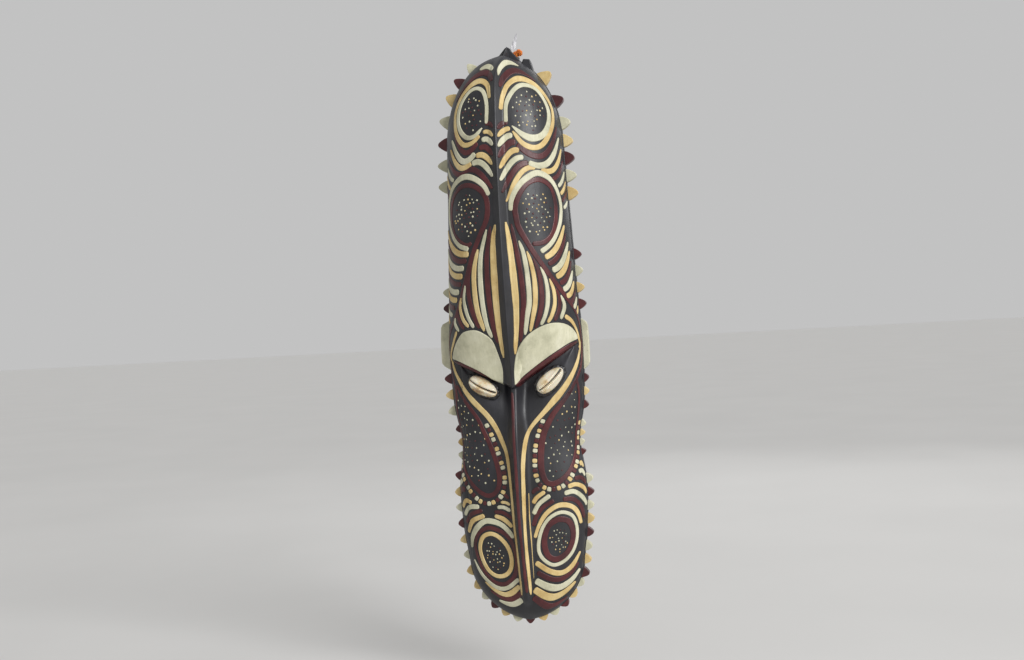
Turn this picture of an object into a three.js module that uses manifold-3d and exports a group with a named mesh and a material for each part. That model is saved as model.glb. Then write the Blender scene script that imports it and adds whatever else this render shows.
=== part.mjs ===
// Long carved mask with cowrie eyes, a toothed rim and a small feather crest.
// Millimetres. +X is the viewer's right, +Y points back to the wall, +Z is up.
// The origin is on the flat back of the crown, midway between the two cord holes.

import * as THREE from 'three';
import { LoftGeometry } from 'three/addons/geometries/LoftGeometry.js';
import { mergeVertices } from 'three/addons/utils/BufferGeometryUtils.js';
import Module from 'manifold-3d';

const wasm = await Module();
wasm.setup();

// ---- Driving dimensions ----------------------------------------------------
// Heights are measured up from the bottom of the chin. The origin is at HANG_H.

const HANG_H = 572;
const CHIN_H = 5;
const FACE_TOP_H = 590;
const RIM_DEPTH = 9;
const RIM_LEDGE = 1;
const SHELL_WALL = 13;
const HOLLOW_INSET = 12;
const HOLLOW_BOTTOM_H = 26;
const HOLLOW_TOP_H = 556;

const KEEL_HALF = 7.5;
const KEEL_PROUD = 7;
const KEEL_LEAN = 8;
const PEAK_H = 600;
const NOSE_HALF = 10;
const NOSE_CREST_HALF = 2.5;
const NOSE_DROP = 14;
const NOSE_TOP_H = 246;

const BROW_SLOPE_RIGHT = 0.66;
const BROW_SLOPE_LEFT = 0.47;
const BROW_STEP = 4;
const SOCKET_DEPTH = 11;
const SOCKET_DEPTH_OUTER = 3;

const CORD_HOLE_R = 2;
const CORD_HOLE_X = 14;
const TIE_HOLE_R = 2.8;
const TIE_HOLE_BOTTOM_H = 574;

const GAP = 0.35;
const ACROSS = 30;
const ALONG = 58;
const HOLLOW_ACROSS = 12;
const HOLLOW_ALONG = 26;

// ---- Profiles along the height ---------------------------------------------

// A smooth curve through [height, value] pairs, lowest first, with no overshoot.
function smoothThrough(points) {
  const last = points.length - 1;
  const rise = (i) => (points[i + 1][1] - points[i][1]) / (points[i + 1][0] - points[i][0]);
  const slope = (i) => {
    if (i === 0) return rise(0);
    if (i === last) return rise(last - 1);
    const below = rise(i - 1);
    const above = rise(i);
    return below * above <= 0 ? 0 : (2 * below * above) / (below + above);
  };
  return (h) => {
    if (h <= points[0][0]) return points[0][1];
    if (h >= points[last][0]) return points[last][1];
    const i = points.findIndex((p) => p[0] > h) - 1;
    const span = points[i + 1][0] - points[i][0];
    const t = (h - points[i][0]) / span;
    const u = 1 - t;
    return (
      points[i][1] * u * u * (1 + 2 * t) +
      points[i + 1][1] * t * t * (1 + 2 * u) +
      span * t * u * (slope(i) * u - slope(i + 1) * t)
    );
  };
}

const sideHalfWidth = smoothThrough([
  [5, 57], [63, 60], [100, 65], [142, 67], [189, 62], [236, 69], [289, 70.5],
  [336, 68], [441, 63.5], [497, 61.5], [590, 60],
]);
const foreheadBulge = smoothThrough([
  [230, 27], [270, 37], [300, 45], [340, 52], [390, 57], [440, 58], [490, 56],
  [530, 50], [560, 40], [580, 25], [590, 10],
]);
const cheekBulge = smoothThrough([
  [5, 3], [15, 11], [30, 18], [60, 25], [100, 28], [150, 28], [200, 27], [290, 28],
]);
const noseCrest = smoothThrough([
  [20, 18], [27, 29], [35, 34], [60, 44], [110, 50], [190, 50], [246, 40],
]);

// The chin and the forehead close in rounded ends that start at these heights.
const CHIN_ROUND = { from: 63, to: CHIN_H, power: 1.8 };
const TOP_ROUND = { from: 497, to: FACE_TOP_H, power: 2.05 };

function roundEnd(h, end) {
  const t = THREE.MathUtils.clamp((h - end.from) / (end.to - end.from), 0, 1);
  return (1 - t ** end.power) ** (1 / end.power);
}

function rimHalfWidth(h) {
  return sideHalfWidth(h) * roundEnd(h, CHIN_ROUND) * roundEnd(h, TOP_ROUND);
}

// ---- The carved front -------------------------------------------------------

const domeAcross = (q) => Math.sqrt(Math.max(0, 1 - q ** 2.2));

// The height of the brow's lower edge at x; the left brow is the flatter one.
function browEdge(x) {
  return NOSE_TOP_H + (x > 0 ? BROW_SLOPE_RIGHT : BROW_SLOPE_LEFT) * Math.abs(x);
}

const cheekEdge = smoothThrough([[12, 215], [30, 225], [64, 290]]);

// The keel runs straight up the middle, then leans right to meet the crown's peak.
const keelCentre = (h) => KEEL_LEAN * THREE.MathUtils.smoothstep(h, 562, PEAK_H);

function socketRecess(x, h) {
  const low = cheekEdge(Math.abs(x));
  const high = browEdge(x);
  const outward = Math.min(Math.abs(x) / 60, 1);
  const deep = THREE.MathUtils.lerp(SOCKET_DEPTH, SOCKET_DEPTH_OUTER, outward);
  return deep * THREE.MathUtils.smoothstep(h, low, high);
}

// Distance that the front stands ahead of the flat back plane.
function frontDepth(x, h) {
  const ax = Math.abs(x);
  const across = domeAcross(Math.min(ax / Math.max(rimHalfWidth(h) - RIM_LEDGE, 1), 1));
  const cheek = RIM_DEPTH + cheekBulge(h) * across - socketRecess(x, h) * across;
  const keel = KEEL_PROUD * Math.max(0, 1 - Math.abs(x - keelCentre(h)) / KEEL_HALF);
  const forehead = RIM_DEPTH + foreheadBulge(h) * across + keel;
  const step = THREE.MathUtils.clamp((h - browEdge(x)) / BROW_STEP, 0, 1);
  const face = THREE.MathUtils.lerp(cheek, forehead, step);
  if (h > NOSE_TOP_H || h < 20) return face;
  const flank = Math.max(0, ax - NOSE_CREST_HALF) / (NOSE_HALF - NOSE_CREST_HALF);
  return Math.max(face, noseCrest(h) - NOSE_DROP * flank);
}

// ---- Solids -----------------------------------------------------------------

function solidOf(geometry) {
  const bare = new THREE.BufferGeometry().copy(geometry);
  bare.deleteAttribute('normal');
  bare.deleteAttribute('uv');
  const merged = mergeVertices(bare, 1e-3);
  const mesh = new wasm.Mesh({
    numProp: 3,
    vertProperties: new Float32Array(merged.attributes.position.array),
    triVerts: new Uint32Array(merged.index.array),
  });
  return new wasm.Manifold(mesh);
}

function meshOf(name, solid, look) {
  const { vertProperties, triVerts } = solid.getMesh();
  const geometry = new THREE.BufferGeometry();
  geometry.setAttribute('position', new THREE.BufferAttribute(vertProperties, 3));
  geometry.setIndex(new THREE.BufferAttribute(triVerts, 1));
  geometry.computeVertexNormals();
  const mesh = new THREE.Mesh(geometry, new THREE.MeshStandardMaterial(look));
  mesh.name = name;
  return mesh;
}

// A solid from cross sections listed upwards, each a ring seen from above.
function loftUp(rings) {
  const sections = rings.map((ring) => ring.map((p) => new THREE.Vector3(p[0], p[1], p[2])));
  return solidOf(new LoftGeometry(sections, { capStart: true, capEnd: true }));
}

// A flat outline drawn in X and Z, extruded forward from the plane y = back.
function slab(shape, back, thickness) {
  const geometry = new THREE.ExtrudeGeometry(shape, { depth: thickness, bevelEnabled: false });
  geometry.rotateX(Math.PI / 2);
  geometry.translate(0, back, 0);
  return solidOf(geometry);
}

function rod(radius, from, to) {
  const a = new THREE.Vector3(...from);
  const b = new THREE.Vector3(...to);
  const geometry = new THREE.CylinderGeometry(radius, radius, a.distanceTo(b), 12);
  const along = b.clone().sub(a).normalize();
  geometry.applyQuaternion(
    new THREE.Quaternion().setFromUnitVectors(new THREE.Vector3(0, 1, 0), along),
  );
  const middle = a.add(b).multiplyScalar(0.5);
  geometry.translate(middle.x, middle.y, middle.z);
  return solidOf(geometry);
}

// Values from a to b with rows closer together near both ends.
function spread(a, b, count) {
  const values = [];
  for (let i = 0; i <= count; i += 1) {
    values.push(a + (b - a) * (0.5 - 0.5 * Math.cos((Math.PI * i) / count)));
  }
  return values;
}

// ---- Rim: flat border with saw teeth, ear tabs and the crown -----------------

// The rim's right half as points from the chin to the top, with distance along it.
const rimPath = spread(CHIN_H, FACE_TOP_H, 400).map((h) => ({ x: rimHalfWidth(h), h, s: 0 }));
for (let i = 1; i < rimPath.length; i += 1) {
  const step = Math.hypot(rimPath[i].x - rimPath[i - 1].x, rimPath[i].h - rimPath[i - 1].h);
  rimPath[i].s = rimPath[i - 1].s + step;
}

function rimAt(s) {
  const i = Math.max(1, rimPath.findIndex((p) => p.s >= s));
  const a = rimPath[i - 1];
  const b = rimPath[i];
  const t = (s - a.s) / (b.s - a.s);
  return new THREE.Vector2(THREE.MathUtils.lerp(a.x, b.x, t), THREE.MathUtils.lerp(a.h, b.h, t));
}

const distanceAtHeight = (h) => rimPath.find((p) => p.h >= h).s;

// Rows of teeth: side, height of the first, pitch, count, base width and length.
const TOOTH_ROWS = [
  { side: 1, first: 52, pitch: 13.9, count: 8, width: 11, long: 7 },
  { side: 1, first: 177, pitch: 10, count: 4, width: 8, long: 5 },
  { side: 1, first: 226, pitch: 13.7, count: 3, width: 10, long: 5 },
  { side: 1, first: 330, pitch: 17.3, count: 4, width: 12, long: 8 },
  { side: 1, first: 445, pitch: 18.3, count: 5, width: 14.5, long: 10.5 },
  { side: -1, first: 57, pitch: 16.6, count: 7, width: 11, long: 6.5 },
  { side: -1, first: 178, pitch: 14, count: 3, width: 9, long: 5 },
  { side: -1, first: 225.5, pitch: 16.7, count: 3, width: 12, long: 8 },
  { side: -1, first: 333, pitch: 15.8, count: 2, width: 12, long: 7 },
  { side: -1, first: 460, pitch: 22.4, count: 5, width: 15, long: 11 },
];
const CHIN_TEETH = { pitch: 13.5, each: 5, width: 11, long: 6.5 };
const SHOULDER_TEETH = [
  { side: 1, h: 541, width: 15.5, long: 11 },
  { side: 1, h: 565, width: 15, long: 12.5 },
  { side: -1, h: 566, width: 13, long: 12 },
  { side: -1, h: 579.5, width: 13, long: 11 },
];
const EARS = [
  { side: 1, from: 262, to: 315, wide: 6 },
  { side: -1, from: 268, to: 320, wide: 9 },
];

function placeAt(side, s) {
  const here = rimAt(s);
  return new THREE.Vector2(side * here.x, here.y);
}

function tooth(side, s, width, long) {
  const a = placeAt(side, Math.max(s - width / 2, 0));
  const b = placeAt(side, s + width / 2);
  const out = new THREE.Vector2(b.y - a.y, a.x - b.x).multiplyScalar(side).normalize();
  const tip = a.clone().lerp(b, 0.5).addScaledVector(out, long);
  return { s, points: [a, tip, b] };
}

function ear({ side, from, to, wide }) {
  const steps = [[0, 0], [0.06, 0.8], [0.14, 1], [0.86, 1], [0.94, 0.8], [1, 0]];
  const points = steps.map(([along, out]) => {
    const h = THREE.MathUtils.lerp(from, to, along);
    return new THREE.Vector2(side * (rimHalfWidth(h) + wide * out), h);
  });
  return { s: distanceAtHeight((from + to) / 2), points };
}

function sideFeatures(side) {
  const found = EARS.filter((tab) => tab.side === side).map(ear);
  for (const row of TOOTH_ROWS.filter((teeth) => teeth.side === side)) {
    for (let i = 0; i < row.count; i += 1) {
      const s = distanceAtHeight(row.first + i * row.pitch);
      found.push(tooth(side, s, row.width, row.long));
    }
  }
  for (const one of SHOULDER_TEETH.filter((teeth) => teeth.side === side)) {
    found.push(tooth(side, distanceAtHeight(one.h), one.width, one.long));
  }
  for (let i = 1; i <= CHIN_TEETH.each; i += 1) {
    found.push(tooth(side, i * CHIN_TEETH.pitch, CHIN_TEETH.width, CHIN_TEETH.long));
  }
  return found.sort((a, b) => a.s - b.s);
}

// The outline runs up one side: the plain rim between features, then each feature.
function sideOutline(side) {
  const outline = [];
  let reached = CHIN_TEETH.width / 2;
  const top = rimPath[rimPath.length - 1].s;
  const walkTo = (s) => {
    const count = Math.ceil((s - reached) / 9);
    for (let i = 1; i < count; i += 1) {
      outline.push(placeAt(side, reached + ((s - reached) * i) / count));
    }
  };
  for (const feature of sideFeatures(side)) {
    const start = distanceAtHeight(feature.points[0].y);
    walkTo(start);
    outline.push(...feature.points);
    reached = distanceAtHeight(feature.points[feature.points.length - 1].y);
  }
  walkTo(top);
  return outline;
}

function rimShape() {
  const chinTooth = [
    new THREE.Vector2(-CHIN_TEETH.width / 2, placeAt(1, CHIN_TEETH.width / 2).y),
    new THREE.Vector2(0, CHIN_H - CHIN_TEETH.long + 1),
    new THREE.Vector2(CHIN_TEETH.width / 2, placeAt(1, CHIN_TEETH.width / 2).y),
  ];
  const top = new THREE.Vector2(0, FACE_TOP_H);
  const left = sideOutline(-1).reverse();
  const points = [...chinTooth, ...sideOutline(1), top, ...left];
  return new THREE.Shape(points.map((p) => new THREE.Vector2(p.x, p.y - HANG_H)));
}

// Crown: a peaked block that carries the keel's end, a notch, and a right shoulder.
const CROWN_DEPTH = 14;
const CROWN_OUTLINE = [
  [-24, 578], [-2, 590], [6, 599], [8, PEAK_H], [11, 598.5], [13, 595], [19, 588],
  [23, 583], [24.5, 586.5], [31.5, 585.5], [35, 573], [38, 556], [-30, 556],
];

function crownShape() {
  return new THREE.Shape(CROWN_OUTLINE.map(([x, h]) => new THREE.Vector2(x, h - HANG_H)));
}

// ---- Sizes of the crest pieces ------------------------------------------------

const TIE = { x: 18, y: -8, top: 589.5, radius: 2.4 };
const TUFT = { x: 19.2, y: -8, h: 594.9, half: [5, 4.2, 4.9] };
const FEATHER = { x: 12.6, y: -8, bottom: 597.5, lean: 16, long: 21, wide: 5, thick: 0.9 };

// ---- Mask body ----------------------------------------------------------------

function domeRing(h) {
  const half = Math.max(rimHalfWidth(h) - RIM_LEDGE, 2);
  const ring = [];
  for (let i = 0; i <= ACROSS; i += 1) {
    const x = -half * Math.cos((Math.PI * i) / ACROSS);
    ring.push([x, -frontDepth(x, h), h - HANG_H]);
  }
  ring.push([half, -1, h - HANG_H]);
  ring.push([-half, -1, h - HANG_H]);
  return ring;
}

// Rows of the dome: extra ones where the nose ends and around the brows.
function domeHeights() {
  const plain = spread(CHIN_H + 2, FACE_TOP_H - 1, ALONG);
  return [...plain, 24, 28, NOSE_TOP_H, NOSE_TOP_H + 4].sort((a, b) => a - b);
}

function hollowRing(h) {
  const half = (rimHalfWidth(h) - HOLLOW_INSET) * roundEnd(h, { ...CHIN_ROUND, to: HOLLOW_BOTTOM_H - 1 });
  const ring = [];
  for (let i = 0; i <= HOLLOW_ACROSS; i += 1) {
    const x = -half * Math.cos((Math.PI * i) / HOLLOW_ACROSS);
    const bulge = h > browEdge(x) ? foreheadBulge(h) : cheekBulge(h);
    const roof = RIM_DEPTH + bulge * domeAcross(Math.abs(x) / (half + HOLLOW_INSET)) - SHELL_WALL;
    const inner = roof - socketRecess(x, Math.min(h, browEdge(x)));
    ring.push([x, -Math.max(inner, 3) * domeAcross(Math.abs(x) / half) ** 0.6, h - HANG_H]);
  }
  ring.push([half, 5, h - HANG_H]);
  ring.push([-half, 5, h - HANG_H]);
  return ring;
}

// The keel's head: a three-sided ridge from the dome up to the crown's peak.
function keelHead() {
  const rows = [[560, 34, KEEL_HALF], [580, 31, 8], [592, 24, 6], [PEAK_H, 17, 2.5]];
  return loftUp(rows.map(([h, depth, half]) => {
    const x = keelCentre(h);
    return [[x - half, -3, h - HANG_H], [x, -depth, h - HANG_H], [x + half, -3, h - HANG_H]];
  }));
}

function makeBody() {
  const dome = loftUp(domeHeights().map(domeRing));
  const rim = slab(rimShape(), 0, RIM_DEPTH);
  const crown = slab(crownShape(), 0, CROWN_DEPTH);
  const hollow = loftUp(spread(HOLLOW_BOTTOM_H, HOLLOW_TOP_H, HOLLOW_ALONG).map(hollowRing));
  const cordHoles = [-1, 1].map((side) => rod(
    CORD_HOLE_R,
    [side * CORD_HOLE_X, 4, 0],
    [side * CORD_HOLE_X, -14, -24],
  ));
  const tieHole = rod(
    TIE_HOLE_R,
    [TIE.x, TIE.y, TIE_HOLE_BOTTOM_H - HANG_H],
    [TIE.x, TIE.y, TIE.top + 20 - HANG_H],
  );
  return rim.add(dome).add(crown).add(keelHead()).subtract(hollow)
    .subtract(cordHoles[0]).subtract(cordHoles[1]).subtract(tieHole);
}

// ---- Cowrie eyes in black gum --------------------------------------------------

const SHELL = { half: [16.8, 5.6, 8.7], sunk: 1.5 };
const GUM = { half: [19.6, 5, 11.6], sunk: 3 };
const EYES = [
  { name: 'right_eye', x: 37.2, h: 253.5, tilt: 40, turn: 16 },
  { name: 'left_eye', x: -32.5, h: 250, tilt: -29, turn: -14 },
];

// An egg-shaped lump set on the socket floor, tilted and turned like the eye.
function eyeLump(eye, { half, sunk }, grow = 0) {
  const geometry = new THREE.SphereGeometry(1, 18, 12);
  geometry.scale(...half.map((size) => size + grow));
  geometry.rotateY(THREE.MathUtils.degToRad(-eye.tilt));
  geometry.rotateZ(THREE.MathUtils.degToRad(eye.turn));
  const floor = frontDepth(eye.x, eye.h);
  geometry.translate(eye.x, -(floor + half[1] - sunk), eye.h - HANG_H);
  return solidOf(geometry);
}

// What is left of a solid once the carving behind and above it is cut away with a gap.
function clearOf(solid, carving) {
  const ahead = carving.translate([0, -GAP, 0]);
  const below = carving.translate([0, -GAP, -GAP]);
  return solid.subtract(ahead).subtract(below);
}

function largest(solid) {
  return solid.decompose().sort((a, b) => b.volume() - a.volume())[0];
}

// ---- Crest: feather and orange tuft standing in the bound peg --------------------

function makeFeather() {
  const shape = new THREE.Shape();
  const { long, wide, thick } = FEATHER;
  shape.moveTo(-0.6, 0);
  shape.lineTo(0.6, 0);
  shape.quadraticCurveTo(wide * 0.7, long * 0.4, 0.5, long);
  shape.lineTo(-0.5, long);
  shape.quadraticCurveTo(-wide * 0.6, long * 0.35, -0.6, 0);
  const geometry = new THREE.ExtrudeGeometry(shape, {
    depth: thick, bevelEnabled: false, curveSegments: 8,
  });
  geometry.rotateX(Math.PI / 2);
  geometry.rotateY(THREE.MathUtils.degToRad(FEATHER.lean));
  geometry.translate(FEATHER.x, FEATHER.y, FEATHER.bottom - HANG_H);
  return solidOf(geometry);
}

function makeTuft() {
  const geometry = new THREE.SphereGeometry(1, 14, 10);
  geometry.scale(...TUFT.half);
  geometry.translate(TUFT.x, TUFT.y, TUFT.h - HANG_H);
  return solidOf(geometry);
}

// The tuft sits on the crown's right slope: the crown is cut away with a gap.
function besideOf(solid, carving) {
  return solid.subtract(carving).subtract(carving.translate([GAP, 0, GAP]));
}

function makeTie() {
  const bottom = TIE_HOLE_BOTTOM_H + GAP - HANG_H;
  return rod(TIE.radius, [TIE.x, TIE.y, bottom], [TIE.x, TIE.y, TIE.top - HANG_H]);
}

// ---- Assembly ---------------------------------------------------------------------

const LOOKS = {
  wood: { color: 0x2b2b2e, roughness: 0.55, metalness: 0 },
  shell: { color: 0xe6dcc6, roughness: 0.25, metalness: 0 },
  gum: { color: 0x17161a, roughness: 0.6, metalness: 0 },
  feather: { color: 0xd8d5d6, roughness: 0.8, metalness: 0 },
  orange: { color: 0xd8861c, roughness: 0.9, metalness: 0 },
  twine: { color: 0x2a211a, roughness: 0.9, metalness: 0 },
};

const body = makeBody();
const group = new THREE.Group();
group.add(meshOf('mask_body', body, LOOKS.wood));

for (const eye of EYES) {
  const shell = largest(clearOf(eyeLump(eye, SHELL), body));
  const seat = eyeLump(eye, SHELL, GAP);
  const gum = largest(clearOf(eyeLump(eye, GUM), body).subtract(seat));
  group.add(meshOf(`${eye.name}_gum`, gum, LOOKS.gum));
  group.add(meshOf(`${eye.name}_shell`, shell, LOOKS.shell));
}

const feather = makeFeather();
const tuft = largest(besideOf(makeTuft(), body));
group.add(meshOf('tuft_tie', makeTie(), LOOKS.twine));
group.add(meshOf('orange_tuft', tuft, LOOKS.orange));
group.add(meshOf('crest_feather', feather, LOOKS.feather));

export default group;
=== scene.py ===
"""Long carved and painted spirit mask with cowrie eyes, a toothed rim and a feather crest.

Everything is worked out in millimetres and turned into metres when a mesh is made.
x is the viewer's right, h is the height above the bottom of the chin and depth is the
distance ahead of the flat back. The frame's origin is on the crown's back face.
"""

import math

import bmesh
import bpy
import numpy as np
from mathutils import Matrix, Vector


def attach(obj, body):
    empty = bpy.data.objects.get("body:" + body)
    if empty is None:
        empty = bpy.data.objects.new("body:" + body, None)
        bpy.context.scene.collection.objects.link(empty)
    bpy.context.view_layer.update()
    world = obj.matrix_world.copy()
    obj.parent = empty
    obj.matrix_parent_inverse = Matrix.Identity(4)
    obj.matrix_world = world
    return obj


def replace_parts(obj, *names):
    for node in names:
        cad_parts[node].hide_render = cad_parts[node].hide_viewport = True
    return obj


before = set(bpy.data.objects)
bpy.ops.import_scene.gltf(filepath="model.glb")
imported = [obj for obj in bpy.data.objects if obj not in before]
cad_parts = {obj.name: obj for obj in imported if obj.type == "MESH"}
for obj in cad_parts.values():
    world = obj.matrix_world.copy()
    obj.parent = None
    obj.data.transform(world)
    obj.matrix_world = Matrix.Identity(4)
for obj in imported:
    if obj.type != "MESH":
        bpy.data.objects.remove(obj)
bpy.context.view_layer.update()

MM = 0.001
WELD = 1e-6
HANG_H = 572.0
rng = np.random.default_rng(7)

# ---- Carved surface ---------------------------------------------------------

CHIN_H = 5.0
CHIN_ROUND_H = 63.0
FACE_TOP_H = 590.0
TOP_ROUND_H = 497.0
PEAK_H = 600.0
DOME_POWER = 2.2
RIM_DEPTH = 9.0
RIM_LEDGE = 1.0
KEEL_HALF = 7.5
KEEL_PROUD = 7.0
KEEL_LEAN = 8.0
KEEL_BEND_H = 562.0
NOSE_HALF = 10.0
NOSE_CREST_HALF = 2.0
NOSE_DROP = 14.0
NOSE_TOP_H = 246.0
NOSE_FOOT_EASE = 6.0
NOSE_FOOT_H = 20.0
BROW_SLOPE_RIGHT = 0.66
BROW_SLOPE_LEFT = 0.47
BROW_STEP = 2.2
SOCKET_DEPTH = 11.0
SOCKET_DEPTH_OUTER = 3.0
SOCKET_REACH = 60.0
KNIFE_WAVE = 0.25
CHART = 60.0


def smooth_through(points):
    """A smooth curve through (height, value) pairs, lowest first, with no overshoot."""
    at, value = np.array(points, float).T
    rise = np.diff(value) / np.diff(at)
    slope = np.concatenate([rise[:1], np.zeros(len(rise) - 1), rise[-1:]])
    below, above = rise[:-1], rise[1:]
    same_way = below * above > 0
    both = np.where(same_way, below + above, 1)
    slope[1:-1] = np.where(same_way, 2 * below * above / both, 0)

    def curve(h):
        h = np.clip(h, at[0], at[-1])
        i = np.clip(np.searchsorted(at, h, side="right") - 1, 0, len(at) - 2)
        span = at[i + 1] - at[i]
        t = (h - at[i]) / span
        u = 1 - t
        return (
            value[i] * u * u * (1 + 2 * t)
            + value[i + 1] * t * t * (1 + 2 * u)
            + span * t * u * (slope[i] * u - slope[i + 1] * t)
        )

    return curve


side_half_width = smooth_through([
    (5, 57), (63, 60), (100, 65), (142, 67), (189, 62), (236, 69), (289, 70.5),
    (336, 68), (441, 63.5), (497, 61.5), (590, 60),
])
forehead_bulge = smooth_through([
    (230, 27), (270, 37), (300, 45), (340, 52), (390, 57), (440, 58), (490, 56),
    (530, 50), (560, 40), (580, 25), (590, 10),
])
cheek_bulge = smooth_through([
    (5, 3), (15, 11), (30, 18), (60, 25), (100, 28), (150, 28), (200, 27), (290, 28),
])
nose_crest = smooth_through([
    (20, 18), (27, 29), (35, 34), (60, 44), (110, 50), (190, 50), (246, 40),
])
cheek_edge = smooth_through([(12, 215), (30, 225), (64, 290)])


def smooth_step(t):
    """0 to 1 with a level start and end."""
    t = np.clip(t, 0, 1)
    return t * t * (3 - 2 * t)


def mix(a, b, t):
    return a + (b - a) * t


def round_end(h, start, end, power):
    """1 at start and before it, closing to 0 at end in a round."""
    t = np.clip((h - start) / (end - start), 0, 1)
    return (1 - t**power) ** (1 / power)


def rim_half_width(h):
    ends = round_end(h, CHIN_ROUND_H, CHIN_H, 1.8)
    ends = ends * round_end(h, TOP_ROUND_H, FACE_TOP_H, 2.05)
    return side_half_width(h) * ends


def keel_centre(h):
    """x of the keel, which leans to the right near its peak."""
    return KEEL_LEAN * smooth_step((h - KEEL_BEND_H) / (PEAK_H - KEEL_BEND_H))


def dome_across(q):
    """The dome's share of its full rise, from 1 in the middle to 0 at the rim."""
    return np.sqrt(np.maximum(0, 1 - np.abs(q) ** DOME_POWER))


def brow_rise(x):
    """How far the brow's lower edge has risen at x; the left brow is flatter."""
    return np.where(x > 0, BROW_SLOPE_RIGHT, BROW_SLOPE_LEFT) * np.abs(x)


def brow_edge(x):
    return NOSE_TOP_H + brow_rise(x)


def socket_recess(x, h):
    """How far the eye socket is cut back, deepest beside the nose under the brow."""
    low = cheek_edge(np.abs(x))
    high = brow_edge(x)
    deep = mix(SOCKET_DEPTH, SOCKET_DEPTH_OUTER, np.minimum(np.abs(x) / SOCKET_REACH, 1))
    return deep * smooth_step((h - low) / (high - low))


def dome_half(h):
    """Half the width of the dome, inside the rim's ledge."""
    return np.maximum(rim_half_width(h) - RIM_LEDGE, 1)


def front_depth(x, h):
    """How far the carved front stands ahead of the flat back."""
    x, h = np.broadcast_arrays(np.asarray(x, float), np.asarray(h, float))
    ax = np.abs(x)
    across = dome_across(np.minimum(ax / dome_half(h), 1))
    cheek = RIM_DEPTH + (cheek_bulge(h) - socket_recess(x, h)) * across
    flank = np.maximum(0, ax - NOSE_CREST_HALF) / (NOSE_HALF - NOSE_CREST_HALF)
    nose = nose_crest(h) - NOSE_DROP * flank
    near = np.maximum(0, NOSE_FOOT_EASE - np.abs(cheek - nose))
    eased = np.maximum(cheek, nose) + near**2 / (4 * NOSE_FOOT_EASE)
    cheek = np.where(h < NOSE_FOOT_H, cheek, eased)
    keel = KEEL_PROUD * np.maximum(0, 1 - np.abs(x - keel_centre(h)) / KEEL_HALF)
    forehead = RIM_DEPTH + forehead_bulge(h) * across + keel
    face = mix(cheek, forehead, np.clip((h - brow_edge(x)) / BROW_STEP, 0, 1))
    wave = np.sin(0.11 * x + 0.07 * h) + np.sin(0.045 * h - 0.09 * x + 1.3)
    return face + KNIFE_WAVE * wave * across


# ---- Mesh helpers -----------------------------------------------------------


def in_frame(x, depth, h):
    """Mask millimetres to frame metres, one row per point."""
    x, depth, h = np.broadcast_arrays(x, depth, h)
    return np.stack([x, -depth, h - HANG_H], -1).reshape(-1, 3) * MM


def sheet_faces(rows, cols, first=0, closed=False):
    """Quads of a rows by cols grid of points; closed joins the last column to the first."""
    i, j = np.meshgrid(np.arange(rows - 1), np.arange(cols - (not closed)), indexing="ij")
    k = (j + 1) % cols
    quads = [i * cols + j, i * cols + k, (i + 1) * cols + k, (i + 1) * cols + j]
    return (first + np.stack(quads, -1)).reshape(-1, 4)


def into_scene(name, data):
    """A new object in the scene that holds data."""
    made = bpy.data.objects.new(name, data)
    bpy.context.scene.collection.objects.link(made)
    return made


def make_piece(name, points, faces, material, smooth=True, recalc=False):
    """A mesh object that rides on the mask. points are frame metres."""
    mesh = bpy.data.meshes.new(name)
    mesh.from_pydata(np.asarray(points).tolist(), [], [list(map(int, f)) for f in faces])
    bm = bmesh.new()
    bm.from_mesh(mesh)
    bmesh.ops.remove_doubles(bm, verts=bm.verts, dist=WELD)
    bmesh.ops.dissolve_degenerate(bm, edges=bm.edges, dist=WELD)
    if recalc:
        bmesh.ops.recalc_face_normals(bm, faces=bm.faces)
    bm.to_mesh(mesh)
    bm.free()
    mesh.update()
    mesh.polygons.foreach_set("use_smooth", [smooth] * len(mesh.polygons))
    mesh.materials.append(material)
    piece = into_scene(name, mesh)
    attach(piece, "root")
    return piece


class Pieces:
    """Gathers many small closed forms of one paint into a single mesh."""

    def __init__(self):
        self.points = []
        self.faces = []
        self.count = 0

    def add(self, points, faces):
        self.points.append(points)
        self.faces.extend([[v + self.count for v in face] for face in faces])
        self.count += len(points)

    def make(self, name, material, slot, smooth=True):
        points = np.concatenate(self.points)
        return make_piece(name, points, self.faces, material, smooth, recalc=True)


# ---- Materials --------------------------------------------------------------


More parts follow.
